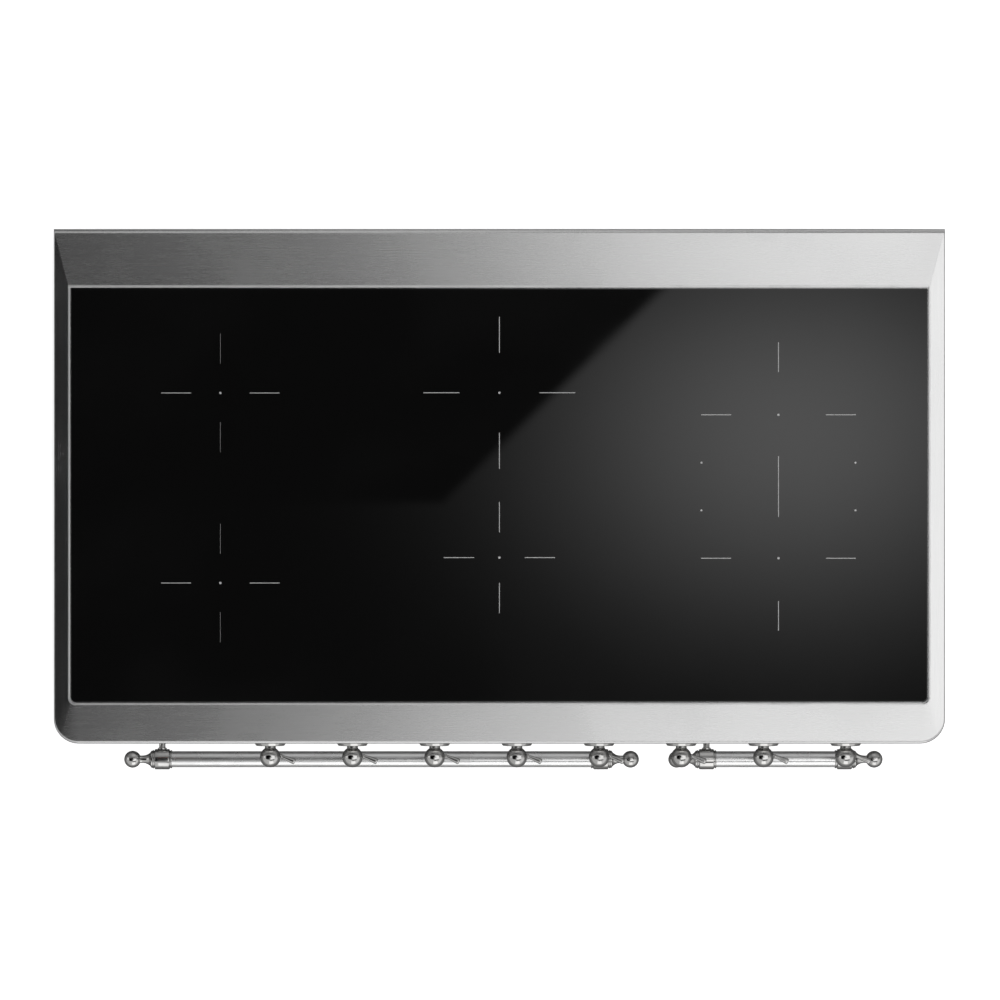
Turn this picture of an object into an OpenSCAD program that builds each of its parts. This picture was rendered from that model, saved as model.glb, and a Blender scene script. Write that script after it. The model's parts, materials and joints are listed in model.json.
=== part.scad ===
// Six-zone induction cooktop with a front control fascia, eight lever knobs and two rails.
// Units are millimetres. +Z is up, the front faces -Y, and the origin is on the surface that
// the feet stand on, under the centre of the deck.

/* [Overall] */
// Width of the steel deck
deck_w = 1216; // [1014:1:1460]
// Depth of the steel deck, from the front nose to the rear edge
deck_d = 702; // [585:1:843]
// Height from the soles of the feet to the rim round the glass
height = 216; // [180:1:260]

/* [Deck] */
// Thickness of the stainless steel sheet
deck_sheet = 1.5; // [1:0.1:2]
// Depth of the steel band in front of the glass
front_band = 57; // [50:1:80]
// Depth of the steel band behind the glass
rear_band = 81; // [50:1:110]
// Width of the steel bands beside the glass
side_band = 24; // [20:1:40]
// Fall of the bands from the rim to the outer edge
band_fall = 3; // [1:0.5:6]
// Radius of the two front corners
corner_r = 34; // [28:1:45]
// Radius of the nose that rolls the deck over into its skirt
nose_r = 4; // [3:0.5:6]
// Height of the skirt under the outer edge
skirt_h = 30; // [20:1:40]
// Width of the flat rim round the glass
rim_w = 2.5; // [2:0.1:5]
// Width of the ledge that carries the glass
ledge_w = 9; // [6:0.5:14]

/* [Glass] */
// Thickness of the ceramic glass
glass_t = 4; // [4:0.5:6]
// Gap between the glass and the rim
glass_gap = 1; // [0.5:0.1:2]
// Depth of the glass surface below the rim
glass_sink = 0.6; // [0:0.1:1.5]
// Radius of the front corners of the glass
glass_corner_r = 7; // [4:0.5:12]
// Thickness of the silicone seal under the glass
seal_t = 1.2; // [0.8:0.1:2]
// Width of the silicone seal
seal_w = 6; // [4:0.5:8]

/* [Cooking zones] */
// Distance of the left and right columns of zones from the outer edges of the deck
zone_column_inset = 227.6; // [200:0.1:260]
// Diameter of the two zones on the left
small_zone_d = 161; // [140:1:170]
// Clear distance between the two zones on the left
small_pair_gap = 98; // [60:1:120]
// Share of the spare depth of the glass that lies behind the zones on the left and the right
side_column_share = 0.432; // [0.3:0.001:0.6]
// Diameter of the rear zone in the middle
large_zone_d = 206; // [180:1:220]
// Diameter of the front zone in the middle
medium_zone_d = 151; // [130:1:160]
// Clear distance between the two zones in the middle
middle_pair_gap = 46.2; // [20:0.1:60]
// Share of the spare depth of the glass that lies behind the zones in the middle
middle_column_share = 0.245; // [0.2:0.001:0.6]
// Width of the bridge zone on the right
bridge_zone_w = 210; // [180:1:220]
// Depth of each half of the bridge zone
bridge_zone_l = 195.5; // [170:0.5:210]
// Corner radius of the coils in the bridge zone
bridge_corner_r = 60; // [40:1:80]
// Distance that a winding stays inside the edge of its zone
coil_inset = 4; // [3:0.5:6]
// Thickness of a litz winding
coil_t = 5.5; // [4:0.5:7]
// Spacing of the turns of a winding
turn_pitch = 5; // [4:0.5:7]
// Radius of the open centre of a winding
coil_eye_r = 24; // [18:1:28]
// Air gap between a winding and the glass
coil_air_gap = 1.6; // [1:0.1:3]
// Thickness of the moulded carrier under a winding
carrier_t = 8; // [7:0.5:10]
// Height of the leaf springs under a carrier
spring_h = 13; // [10:0.5:16]

/* [Chassis] */
// Thickness of the panels of the chassis
panel_t = 1.2; // [1:0.1:1.5]
// Clearance between the skirt of the deck and the chassis
shell_gap = 0.5; // [0.4:0.1:1]
// Clearance between panels that overlap
panel_gap = 0.2; // [0.2:0.1:0.5]
// Height of the feet
foot_h = 14; // [12:1:20]
// Diameter of the feet
foot_d = 40; // [30:1:50]
// Height of the flange round the base pan
pan_flange_h = 22; // [18:1:30]
// Thickness of the aluminium shield plates
shield_t = 1.5; // [1:0.1:2]
// Distance of the cabinet screws from the sides of the chassis
cabinet_screw_inset = 110; // [90:1:140]
// Diameter of the cabinet screw holes
cabinet_hole_d = 5.5; // [5:0.1:6.5]

/* [Fascia and knobs] */
// Thickness of the fascia
fascia_t = 1.5; // [1:0.1:2]
// Distance of the fascia behind the nose of the deck
fascia_setback = 3.5; // [2.5:0.1:6]
// Depth of the knob axes below the rim
knob_drop = 66; // [58:1:80]
// Distance from the left edge of the deck to the first knob axis
knob_left_margin = 293; // [240:1:300]
// Distance from the last knob axis to the right edge of the deck
knob_right_margin = 132; // [110:1:150]
// Diameter of the ball of a knob
ball_d = 28.5; // [24:0.5:32]
// Clear distance between a bezel and the back of its ball
ball_gap = 1.45; // [0.8:0.05:4]
// Diameter of the neck behind a ball
neck_d = 15; // [12:0.5:17]
// Diameter of a bezel
bezel_d = 46; // [40:1:52]
// Diameter of the front face of a bezel
bezel_face_d = 39; // [34:1:44]
// Thickness of a bezel
bezel_t = 8.9; // [7:0.1:9]
// Diameter of an encoder spindle
spindle_d = 6; // [5:0.1:6.5]
// Angle that a lever leans away from the fascia
lever_lean = 22.5; // [10:0.5:30]
// Length of a lever outside its ball
lever_l = 21.5; // [16:0.5:26]
// Diameter of a lever beside the ball
lever_root_d = 4.6; // [4:0.1:6]
// Diameter of a lever at its tip
lever_tip_d = 8; // [6:0.5:10]
// Width of the display window
display_w = 150; // [100:1:170]
// Height of the display window
display_h = 34; // [26:1:40]

/* [Rails] */
// Height of the rail axes above the feet's soles
rail_rise = 58; // [50:1:62]
// Distance from the fascia to the rail axes
rail_reach = 31.8; // [28:0.1:40]
// Diameter of a rail bar
rail_d = 22.5; // [18:0.5:25]
// Diameter of the barrels that hold a bar
barrel_d = 28.4; // [26:0.1:32]
// Length of a barrel between its rings
barrel_l = 21; // [18:1:26]
// Diameter of the posts
post_d = 8.7; // [8:0.1:12]
// Diameter of the balls on the ends of the rails
finial_ball_d = 22.2; // [18:0.1:26]
// Distance from the centre of a barrel to the centre of its end ball
finial_reach = 42; // [40:1:50]
// Distance from the left edge of the deck to the first post
rail_left_margin = 139; // [120:1:150]
// Distance from the last post to the right edge of the deck
rail_right_margin = 128; // [110:1:140]
// Distance between the posts of the short rail
short_rail_span = 192; // [160:1:240]
// Distance between the long rail's last post and the short rail's first
rail_space = 147; // [110:1:170]

/* [Cooling and power] */
// Side of a fan frame
fan_size = 120; // [100:1:130]
// Depth of a fan frame
fan_depth = 32; // [25:1:38]
// Bore of the cable gland
gland_bore_d = 20; // [16:0.5:24]
// Length of the gland
gland_l = 34; // [30:1:40]

/* [Hidden] */
$fn = 64;
eps = 0.01;
KNOBS = 8;

// Deck and glass: edges and levels
front_y = -deck_d / 2;
rear_y = deck_d / 2;
glass_w = deck_w - 2 * side_band;
glass_front_y = front_y + front_band;
glass_rear_y = rear_y - rear_band;
edge_z = height - band_fall;
skirt_z = edge_z - skirt_h;
glass_z = height - glass_sink - glass_t;
ledge_z = glass_z - seal_t;
ledge_under_z = ledge_z - deck_sheet;
seal_edge = 1;

// Chassis
chassis_w = deck_w - 2 * (deck_sheet + shell_gap);
chassis_rear_y = rear_y - deck_sheet - shell_gap;
fascia_y = front_y + fascia_setback;
fascia_back_y = fascia_y + fascia_t;
fascia_r = corner_r - fascia_setback;
fascia_return_y = front_y + corner_r + 7;
fascia_bottom_z = foot_h - 4;
fascia_top_z = ledge_under_z - 9;
pan_z = foot_h;
pan_top_z = pan_z + panel_t;
pan_w = chassis_w - 2 * (max(panel_t, fascia_t) + panel_gap);
pan_front_y = fascia_back_y + 0.3;
pan_rear_y = chassis_rear_y - panel_t - panel_gap;
pan_r = fascia_r - fascia_t;
side_front_y = fascia_return_y + shell_gap;

// Stack of parts that hangs under the glass
coil_top_z = glass_z - coil_air_gap;
coil_z = coil_top_z - coil_t;
carrier_z = coil_z - carrier_t;
shield_top_z = carrier_z - spring_h;
shield_z = shield_top_z - shield_t;

// Cooking zones: [x, y, width, depth, corner radius], with a corner radius of half the width for a disc
zone_x = deck_w / 2 - zone_column_inset;
glass_d = glass_rear_y - glass_front_y;
small_pitch = small_zone_d + small_pair_gap;
small_rear_y = glass_rear_y - side_column_share * (glass_d - small_pitch - small_zone_d) - small_zone_d / 2;
middle_pitch = (large_zone_d + medium_zone_d) / 2 + middle_pair_gap;
middle_spare = glass_d - middle_pitch - (large_zone_d + medium_zone_d) / 2;
middle_rear_y = glass_rear_y - middle_column_share * middle_spare - large_zone_d / 2;
middle_front_y = middle_rear_y - middle_pitch;
bridge_rear_y = glass_rear_y - side_column_share * (glass_d - 2 * bridge_zone_l) - bridge_zone_l / 2;
LEFT_REAR = [-zone_x, small_rear_y, small_zone_d, small_zone_d, small_zone_d / 2];
LEFT_FRONT = [-zone_x, small_rear_y - small_pitch, small_zone_d, small_zone_d, small_zone_d / 2];
MIDDLE_REAR = [0, middle_rear_y, large_zone_d, large_zone_d, large_zone_d / 2];
MIDDLE_FRONT = [0, middle_front_y, medium_zone_d, medium_zone_d, medium_zone_d / 2];
RIGHT_REAR = [zone_x, bridge_rear_y, bridge_zone_w, bridge_zone_l, bridge_corner_r];
RIGHT_FRONT = [zone_x, bridge_rear_y - bridge_zone_l, bridge_zone_w, bridge_zone_l, bridge_corner_r];
ZONES = [LEFT_REAR, LEFT_FRONT, MIDDLE_REAR, MIDDLE_FRONT, RIGHT_REAR, RIGHT_FRONT];
turn_w = turn_pitch - 0.8;
ferrite_w = 12;
ferrite_t = 5;
ferrite_fit = 0.2;
sensor_d = 12;

// Shield plates: three bridges side by side
plate_space = 8;
plate_w = (pan_w - 2 * panel_t - 4 * plate_space) / 3;
plate_pitch = plate_w + plate_space;
plate_front_y = glass_front_y + 44;
plate_rear_y = glass_rear_y - 10;
plate_d = plate_rear_y - plate_front_y;
plate_foot = 15;

// Generator boards, one under each shield plate, with the leads of two windings each
board_side_gap = 46;
board_w = plate_w - 2 * board_side_gap;
board_d = 200;
board_t = 1.6;
standoff_h = 8;
board_z = pan_top_z + standoff_h;
board_front_y = plate_front_y + 30;
heat_sink_l = board_w - 60;
heat_sink_w = 40;
heat_sink_h = 36;

// Litz leads: column of each zone's lead beside its board, and the grommet it passes
lead_d = 4;
grommet_d = 10;
function lead_plate_x(z) = (floor(z / 2) - 1) * plate_pitch;
function lead_x(z) = lead_plate_x(z) - board_w / 2 - 12 - 12 * (z % 2);

// Fans
fan_offset = plate_pitch / 2;
// the depth that is left between a board and a rear leg is shared 22 to 7 in front of and behind the fan
fan_spare = plate_rear_y - plate_foot - fan_size - board_front_y - board_d;
fan_y = plate_rear_y - plate_foot - fan_spare * 7 / 29 - fan_size / 2;
fan_bore_d = fan_size - 6;
rotor_d = fan_bore_d - 4;
rotor_hub_d = 42;
fan_shaft_d = 3;
fan_bearing_d = 8;
fan_web_t = 3;

// Knobs
knob_z = height - knob_drop;
knob_pitch = (deck_w - knob_left_margin - knob_right_margin) / (KNOBS - 1);
function knob_x(i) = -deck_w / 2 + knob_left_margin + i * knob_pitch;
ball_y = fascia_y - bezel_t - ball_gap - ball_d / 2;
bezel_front_y = fascia_y - bezel_t;
neck_back_y = bezel_front_y - 0.5;
spindle_front_y = ball_y + 4;
encoder_body = 14;
encoder_depth = 7;
bushing_d = 9;
bushing_l = fascia_t + 5;
bushing_nut_af = 13;
bushing_nut_t = 2.5;
running_gap = 0.05;
lever_stub_d = lever_root_d - 1.6;
lever_stub_l = 6;
lever_seat = 1.6;
lever_back = 7;  // angle of a lever's root behind the widest part of its ball
display_x = -deck_w / 2 + knob_left_margin / 2;

// Rails: [x of the left post, x of the right post]
rail_y = fascia_y - rail_reach;
short_right_x = deck_w / 2 - rail_right_margin;
short_left_x = short_right_x - short_rail_span;
long_left_x = -deck_w / 2 + rail_left_margin;
long_right_x = short_left_x - rail_space;
RAILS = [[long_left_x, long_right_x], [short_left_x, short_right_x]];
POSTS = [long_left_x, long_right_x, short_left_x, short_right_x];
ring_d = barrel_d - 2.8;
ring_t = 2;
ring_groove = 1;
groove_d = (ring_d + rail_d) / 2 + 0.4;
socket_l = 6;
finial_tenon_d = 8;
finial_tenon_l = 7;
post_pin_d = post_d - 2;
post_pin_l = 4;
stud_d = 5;
stud_l = 9;

// Rear recess and gland
recess_w = 110;
recess_h = 74;
recess_d = 46;
recess_x = plate_pitch + 57;
recess_z = pan_z + pan_flange_h + 2 + panel_t;
gland_x = recess_x;
gland_z = recess_z + recess_h / 2;
gland_flange_d = gland_bore_d + 14;
gland_tail_d = gland_bore_d + 5;
terminal_w = 90;
terminal_x = plate_pitch - plate_w / 8 - 60;
feed_left_x = plate_pitch - plate_w / 8 + 5;
terminal_y = plate_rear_y + 15;
terminal_z = pan_top_z + 42;

// Screws
screw_d = 3.6;
screw_hole_d = 4;
screw_head_d = 8;
screw_head_t = 2.4;
screw_l = 7;
SIDE_SCREWS = [for (i = [0:4]) side_front_y + 30 + i * (chassis_rear_y - side_front_y - 60) / 4];
REAR_SCREWS = [for (i = [0:6]) -chassis_w / 2 + 40 + i * (chassis_w - 80) / 6];
side_screw_z = pan_z + pan_flange_h / 2 + 1;
rear_screw_z = side_screw_z;

// ---- shapes that repeat ----

// Flat plate between two Y levels, with its two front corners rounded
module plate_2d(w, y0, y1, r) {
    translate([-w / 2, y0 + r]) square([w, y1 - y0 - r]);
    translate([-w / 2 + r, y0]) square([w - 2 * r, y1 - y0]);
    for (s = [-1, 1]) translate([s * (w / 2 - r), y0 + r]) circle(r);
}

// The same plate, smaller by inset on every side
module inset_plate_2d(w, y0, y1, r, inset)
    plate_2d(w - 2 * inset, y0 + inset, y1 - inset, max(r - inset, 0.5));

module glass_outline(grow) inset_plate_2d(glass_w, glass_front_y, glass_rear_y, glass_corner_r, -grow);

module rounded_rect(w, l, r) {
    square([w - 2 * r, l], center = true);
    square([w, l - 2 * r], center = true);
    for (x = [-1, 1], y = [-1, 1]) translate([x * (w / 2 - r), y * (l / 2 - r)]) circle(r);
}

// Outline of a cooking zone about its own centre, smaller by inset on every side
module zone_2d(zone, inset) {
    if (zone[4] * 2 >= zone[2]) circle(zone[2] / 2 - inset);
    else rounded_rect(zone[2] - 2 * inset, zone[3] - 2 * inset, max(zone[4] - inset, 12));
}

module at_zone(zone, z) translate([zone[0], zone[1], z]) children();

// Cylinder along +Y from y = 0
module cylinder_y(d, l) rotate([-90, 0, 0]) cylinder(d = d, h = l);

module hex_y(af, l) rotate([-90, 0, 0]) cylinder(d = af / cos(30), h = l, $fn = 6);

// Panhead screw along +Z, with its head on top of z = 0
module screw(l) {
    translate([0, 0, -l]) cylinder(d = screw_d, h = l + 0.5, $fn = 24);
    difference() {
        cylinder(d1 = screw_head_d, d2 = screw_head_d - 2.4, h = screw_head_t, $fn = 32);
        for (a = [0, 90]) rotate(a)
            translate([-2, -0.5, screw_head_t - 1.2]) cube([4, 1, 2]);
    }
}

// Wire that runs straight from point to point, with round corners
module wire(points, d) {
    for (i = [0:len(points) - 2]) {
        a = points[i];
        b = points[i + 1];
        v = b - a;
        translate(a)
            rotate([0, acos(v[2] / norm(v)), atan2(v[1], v[0])])
                cylinder(d = d, h = norm(v), $fn = 16);
    }
    for (i = [1:len(points) - 2]) translate(points[i]) sphere(d = d, $fn = 16);
}

// ---- deck and glass ----

// Solid with the deck's outer surface moved inwards by inset: bands, nose and skirt
module deck_form(inset) {
    r = nose_r - inset;
    base_z = skirt_z - 4 * inset;
    hull() {
        for (a = [0:22.5:90]) {
            top_z = edge_z - inset - r * (1 - sin(a));
            translate([0, 0, base_z]) linear_extrude(top_z - base_z)
                inset_plate_2d(deck_w, front_y, rear_y, corner_r, inset + r * (1 - cos(a)));
        }
        translate([0, 0, base_z])
            linear_extrude(height - inset - base_z) glass_outline(glass_gap + rim_w);
    }
}

module top_frame() color("silver") difference() {
    union() {
        difference() {
            deck_form(0);
            deck_form(deck_sheet);
        }
        translate([0, 0, ledge_under_z])
            linear_extrude(height - deck_sheet / 2 - ledge_under_z) glass_outline(glass_gap + deck_sheet);
    }
    translate([0, 0, ledge_z]) linear_extrude(height) glass_outline(glass_gap);
    translate([0, 0, skirt_z - 5]) linear_extrude(height) glass_outline(-ledge_w);
}

module glass_top() color([0.05, 0.05, 0.055])
    translate([0, 0, glass_z]) linear_extrude(glass_t) glass_outline(0);

module glass_seal() color([0.12, 0.12, 0.12])
    translate([0, 0, ledge_z]) linear_extrude(seal_t) difference() {
        glass_outline(-seal_edge);
        glass_outline(-seal_edge - seal_w);
    }

// ---- induction zones ----

// Flat winding: a thin disc that carries one ridge per turn
module coil(zone) color("peru") at_zone(zone, coil_z) {
    turns = floor((zone[3] / 2 - coil_inset - coil_eye_r) / turn_pitch);
    difference() {
        linear_extrude(coil_t) zone_2d(zone, coil_inset);
        translate([0, 0, -1])
            linear_extrude(coil_t + 2) zone_2d(zone, coil_inset + turns * turn_pitch);
        for (i = [1:turns - 1])
            translate([0, 0, coil_t - 1.5]) linear_extrude(2) difference() {
                zone_2d(zone, coil_inset + i * turn_pitch - turn_pitch + turn_w);
                zone_2d(zone, coil_inset + i * turn_pitch);
            }
    }
}

module coils_left() { coil(LEFT_REAR); coil(LEFT_FRONT); }
module coil_middle_rear() coil(MIDDLE_REAR);
module coil_middle_front() coil(MIDDLE_FRONT);
module coils_right() { coil(RIGHT_REAR); coil(RIGHT_FRONT); }

// Ferrite bars of one zone, each grown by fit
module zone_ferrites(zone, fit) {
    bar_l = zone[3] / 2 - coil_inset - coil_eye_r - 4;
    for (a = [22.5:45:360]) rotate(a)
        translate([coil_eye_r + 2 - fit, -ferrite_w / 2 - fit, 0])
            cube([bar_l + 2 * fit, ferrite_w + 2 * fit, ferrite_t + fit]);
}

module carrier(zone) color("ivory") at_zone(zone, carrier_z) difference() {
    linear_extrude(carrier_t) zone_2d(zone, coil_inset - 1.5);
    translate([0, 0, -ferrite_fit]) zone_ferrites(zone, ferrite_fit);
    translate([0, 0, -1]) cylinder(d = sensor_d + 0.4, h = carrier_t + 2);
}

module coil_carriers() for (zone = ZONES) carrier(zone);

module ferrite_bars() color([0.22, 0.22, 0.24])
    for (zone = ZONES) at_zone(zone, carrier_z) zone_ferrites(zone, 0);

module zone_sensors() color("white") for (zone = ZONES) at_zone(zone, carrier_z) {
    cylinder(d = sensor_d, h = carrier_t + 1);
    translate([0, 0, carrier_t]) cylinder(d = sensor_d + 6, h = glass_z - 0.2 - carrier_z - carrier_t);
}

module leaf_spring() {
    leaf = 0.8;
    rotate([90, 0, 0]) translate([0, 0, -5]) linear_extrude(10) polygon([
        [0, 0], [8, 0], [20, spring_h - leaf], [28, spring_h - leaf],
        [28, spring_h], [19.5, spring_h], [7.5, leaf], [0, leaf]
    ]);
}

module carrier_springs() color("lightsteelblue") for (zone = ZONES)
    at_zone(zone, shield_top_z) for (a = [0, 120, 240]) rotate(a)
        translate([zone[3] / 2 - coil_inset - 34, 0, 0]) leaf_spring();

// Bridge of aluminium sheet with windows in its two legs for the cooling air
module shield_plate() {
    leg_h = shield_top_z - pan_top_z;
    difference() {
        union() {
            translate([-plate_w / 2, plate_front_y, shield_z]) cube([plate_w, plate_d, shield_t]);
            for (side = [0, 1]) {
                translate([-plate_w / 2, side ? plate_rear_y - shield_t : plate_front_y, pan_top_z])
                    cube([plate_w, shield_t, leg_h]);
                translate([-plate_w / 2, side ? plate_rear_y - plate_foot : plate_front_y, pan_top_z])
                    cube([plate_w, plate_foot, shield_t]);
            }
        }
        for (i = [-1:1])
            translate([i * plate_w / 3.2 - plate_w / 8, plate_front_y - 5, pan_top_z + 24])
                cube([plate_w / 4, plate_d + 10, leg_h - 46]);
    }
}

module shield_plates() color("gainsboro") difference() {
    for (i = [-1:1]) translate([i * plate_pitch, 0, 0]) shield_plate();
    for (z = [0:5]) translate([lead_x(z), ZONES[z][1], shield_z - 1]) cylinder(d = grommet_d, h = shield_t + 2);
}

// ---- power electronics ----

module power_boards() color("darkgreen") for (i = [-1:1])
    translate([i * plate_pitch - board_w / 2, board_front_y, board_z])
        cube([board_w, board_d, board_t]);

// Finned extrusion, one on each board
module heat_sinks() color("lightgray") for (i = [-1:1])
    translate([i * plate_pitch - heat_sink_l / 2, board_front_y + 20, board_z + board_t]) {
        cube([heat_sink_l, heat_sink_w, 4]);
        for (k = [0:7])
            translate([0, k * (heat_sink_w - 1.6) / 7, 4 - eps]) cube([heat_sink_l, 1.6, heat_sink_h - 4]);
    }

// Capacitors, chokes and relays, standing on the boards
module board_components() for (i = [-1:1])
    translate([i * plate_pitch, board_front_y + 75, board_z + board_t]) {
        color("goldenrod") for (k = [-1:1]) translate([k * 62 - 40, 0, 0]) cube([42, 26, 30]);
        color("saddlebrown") for (k = [-1, 1]) translate([k * 60, 62, 0]) difference() {
            cylinder(d = 44, h = 20);
            translate([0, 0, -1]) cylinder(d = 20, h = 22);
        }
        color("black") for (k = [0:3]) translate([k * 26 - 52, 96, 0]) cube([20, 16, 18]);
        color("navy") for (k = [0:2]) translate([110, k * 32, 0]) cylinder(d = 22, h = 34);
    }

// Litz leads from each winding to its generator, and the supply leads from the terminal block
module wiring_loom() {
    run_z = board_z + 60;
    color("orangered") for (z = [0:5]) {
        zone = ZONES[z];
        lead_y = board_front_y + 30 + 24 * (z % 2);
        wire([
            [zone[0] - zone[2] / 2 - 1, zone[1], carrier_z - 5],
            [lead_x(z), zone[1], carrier_z - 5],
            [lead_x(z), zone[1], run_z],
            [lead_x(z), lead_y, run_z],
            [lead_x(z), lead_y, board_z + board_t + lead_d / 2 + 4],
            [lead_plate_x(z) - board_w / 2 + 8, lead_y, board_z + board_t + lead_d / 2 + 4],
            [lead_plate_x(z) - board_w / 2 + 8, lead_y, board_z + board_t]
        ], lead_d);
    }
    color("dimgray") for (k = [0:2]) {
        feed_x = feed_left_x + 8 * k;
        feed_y = board_front_y + board_d - 16 - 14 * k;
        feed_z = terminal_z + 7 + 8 * k;
        drop_x = (k - 1) * plate_pitch + board_w / 2 - 10;
        wire([
            [feed_x, terminal_y, feed_z],
            [feed_x, feed_y, feed_z],
            [drop_x, feed_y, feed_z],
            [drop_x, feed_y, board_z + board_t]
        ], lead_d);
    }
}

// ---- fans ----

module fan_frame() difference() {
    union() {
        difference() {
            translate([-fan_size / 2, -fan_size / 2, 0]) cube([fan_size, fan_size, fan_depth]);
            translate([0, 0, -1]) cylinder(d = fan_bore_d, h = fan_depth + 2);
        }
        for (a = [45:90:315]) rotate(a) translate([0, -3, 0])
            cube([fan_size / 2 + 2, 6, fan_web_t]);
        cylinder(d = rotor_hub_d, h = fan_web_t);
        cylinder(d = fan_bearing_d, h = fan_depth - 8);
    }
    translate([0, 0, -1]) cylinder(d = fan_shaft_d + 2 * running_gap, h = fan_depth);
}

// Hub cup with seven pitched blades and a shaft that runs in the frame's bearing
module fan_rotor() {
    cup_z = fan_web_t + 1;
    cup_h = fan_depth - fan_web_t - 3;
    difference() {
        union() {
            translate([0, 0, cup_z]) cylinder(d = rotor_hub_d, h = cup_h);
            intersection() {
                for (a = [0:360 / 7:359]) rotate(a)
                    translate([rotor_hub_d / 2 - 2, 0, cup_z + cup_h / 2]) rotate([40, 0, 0])
                        translate([0, -fan_depth * 0.55, -0.8]) cube([rotor_d, fan_depth * 1.1, 1.6]);
                translate([0, 0, cup_z]) cylinder(d = rotor_d, h = cup_h);
            }
        }
        translate([0, 0, cup_z - 1]) cylinder(d = rotor_hub_d - 3, h = cup_h - 1.5);
    }
    translate([0, 0, fan_web_t]) cylinder(d = fan_shaft_d, h = cup_h, $fn = 32);
}

module at_fan(side) translate([side * fan_offset, fan_y, pan_top_z]) children();

module fan_frames() color([0.15, 0.15, 0.15]) for (side = [-1, 1]) at_fan(side) fan_frame();
module fan_rotor_left() color("dimgray") at_fan(-1) fan_rotor();
module fan_rotor_right() color("dimgray") at_fan(1) fan_rotor();

// ---- chassis ----

module pan_outline(inset) inset_plate_2d(pan_w, pan_front_y, pan_rear_y, pan_r, inset);

cabinet_x = chassis_w / 2 - cabinet_screw_inset;
cabinet_front_y = pan_front_y + 30;
cabinet_rear_y = pan_rear_y - 14;
// Feet: one near each corner, and one in the middle that keeps the wide pan from sagging
CORNER_FEET = [for (x = [-1, 1], y = [pan_front_y + 55, pan_rear_y - 55]) [x * (chassis_w / 2 - 50), y]];
FEET = concat(CORNER_FEET, [[0, 0]]);

// Intake grille: parallel slots inside a circle
module grille(d) for (i = [-5:5]) {
    slot_l = 2 * sqrt(pow(d / 2, 2) - pow(i * d / 12, 2));
    translate([-slot_l / 2, i * d / 12 - 2.5, -5]) cube([slot_l, 5, 20]);
}

module base_pan() color("lightgray") difference() {
    union() {
        translate([0, 0, pan_z]) linear_extrude(panel_t) pan_outline(0);
        translate([0, 0, pan_z]) linear_extrude(pan_flange_h) difference() {
            pan_outline(0);
            pan_outline(panel_t);
        }
        for (i = [-1:1], x = [12, board_w - 12], y = [12, board_d - 12])
            translate([i * plate_pitch - board_w / 2 + x, board_front_y + y, pan_z])
                cylinder(d = 8, h = panel_t + standoff_h, $fn = 32);
    }
    for (side = [-1, 1]) at_fan(side) grille(fan_bore_d - 8);
    for (x = [-1, 1], y = [cabinet_front_y, cabinet_rear_y])
        translate([x * cabinet_x, y, pan_z - 1]) cylinder(d = cabinet_hole_d, h = panel_t + 2);
    for (p = FEET) translate([p[0], p[1], pan_z - 1]) cylinder(d = 6.4, h = panel_t + 2);
    for (side = [-1, 1], y = SIDE_SCREWS)
        translate([side * pan_w / 2, y, side_screw_z]) rotate([0, 90, 0])
            cylinder(d = screw_hole_d, h = 10, center = true, $fn = 32);
    for (x = REAR_SCREWS)
        translate([x, pan_rear_y - 5, rear_screw_z]) cylinder_y(screw_hole_d, 10, $fn = 32);
}

// Side panel with a top flange that carries the deck's ledge, drawn for the right side
module side_panel() difference() {
    union() {
        translate([chassis_w / 2 - panel_t, side_front_y, pan_z])
            cube([panel_t, chassis_rear_y - side_front_y, ledge_under_z - pan_z]);
        translate([glass_w / 2 - ledge_w + 1, side_front_y + 2, ledge_under_z - panel_t])
            cube([chassis_w / 2 - glass_w / 2 + ledge_w - 1 - panel_t / 2,
                  chassis_rear_y - panel_t - panel_gap - side_front_y - 2, panel_t]);
    }
    for (y = SIDE_SCREWS)
        translate([chassis_w / 2, y, side_screw_z]) rotate([0, 90, 0])
            cylinder(d = screw_hole_d, h = 10, center = true, $fn = 32);
}

module side_panel_left() color("silver") mirror([1, 0, 0]) side_panel();
module side_panel_right() color("silver") side_panel();

// Rear panel with louvre slots and a pocket for the supply cable
module rear_panel() color("lightgray") {
    panel_w = chassis_w - 2 * (panel_t + panel_gap);
    panel_h = ledge_under_z - 1 - pan_z;
    pocket = [recess_w + 2 * panel_t, recess_d, recess_h + 2 * panel_t];
    difference() {
        union() {
            translate([-panel_w / 2, chassis_rear_y - panel_t, pan_z]) cube([panel_w, panel_t, panel_h]);
            translate([recess_x - pocket[0] / 2, chassis_rear_y - recess_d, recess_z - panel_t]) cube(pocket);
        }
        translate([recess_x - recess_w / 2, chassis_rear_y - recess_d + panel_t, recess_z])
            cube([recess_w, recess_d, recess_h]);
        translate([gland_x, chassis_rear_y - recess_d - 1, gland_z]) cylinder_y(gland_tail_d + 0.5, 10);
        for (bank = [-1:1], i = [0:9], row = [0:1])
            translate([bank * 290 - 22 + (i - 4.5) * 22, chassis_rear_y - panel_t - 1, height - 84 + row * 34])
                cube([5, panel_t + 2, 26]);
        for (x = REAR_SCREWS)
            translate([x, chassis_rear_y - 5, rear_screw_z]) cylinder_y(screw_hole_d, 10, $fn = 32);
    }
}

module fascia_outline(inset) inset_plate_2d(chassis_w, fascia_y, rear_y, fascia_r, inset);

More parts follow.
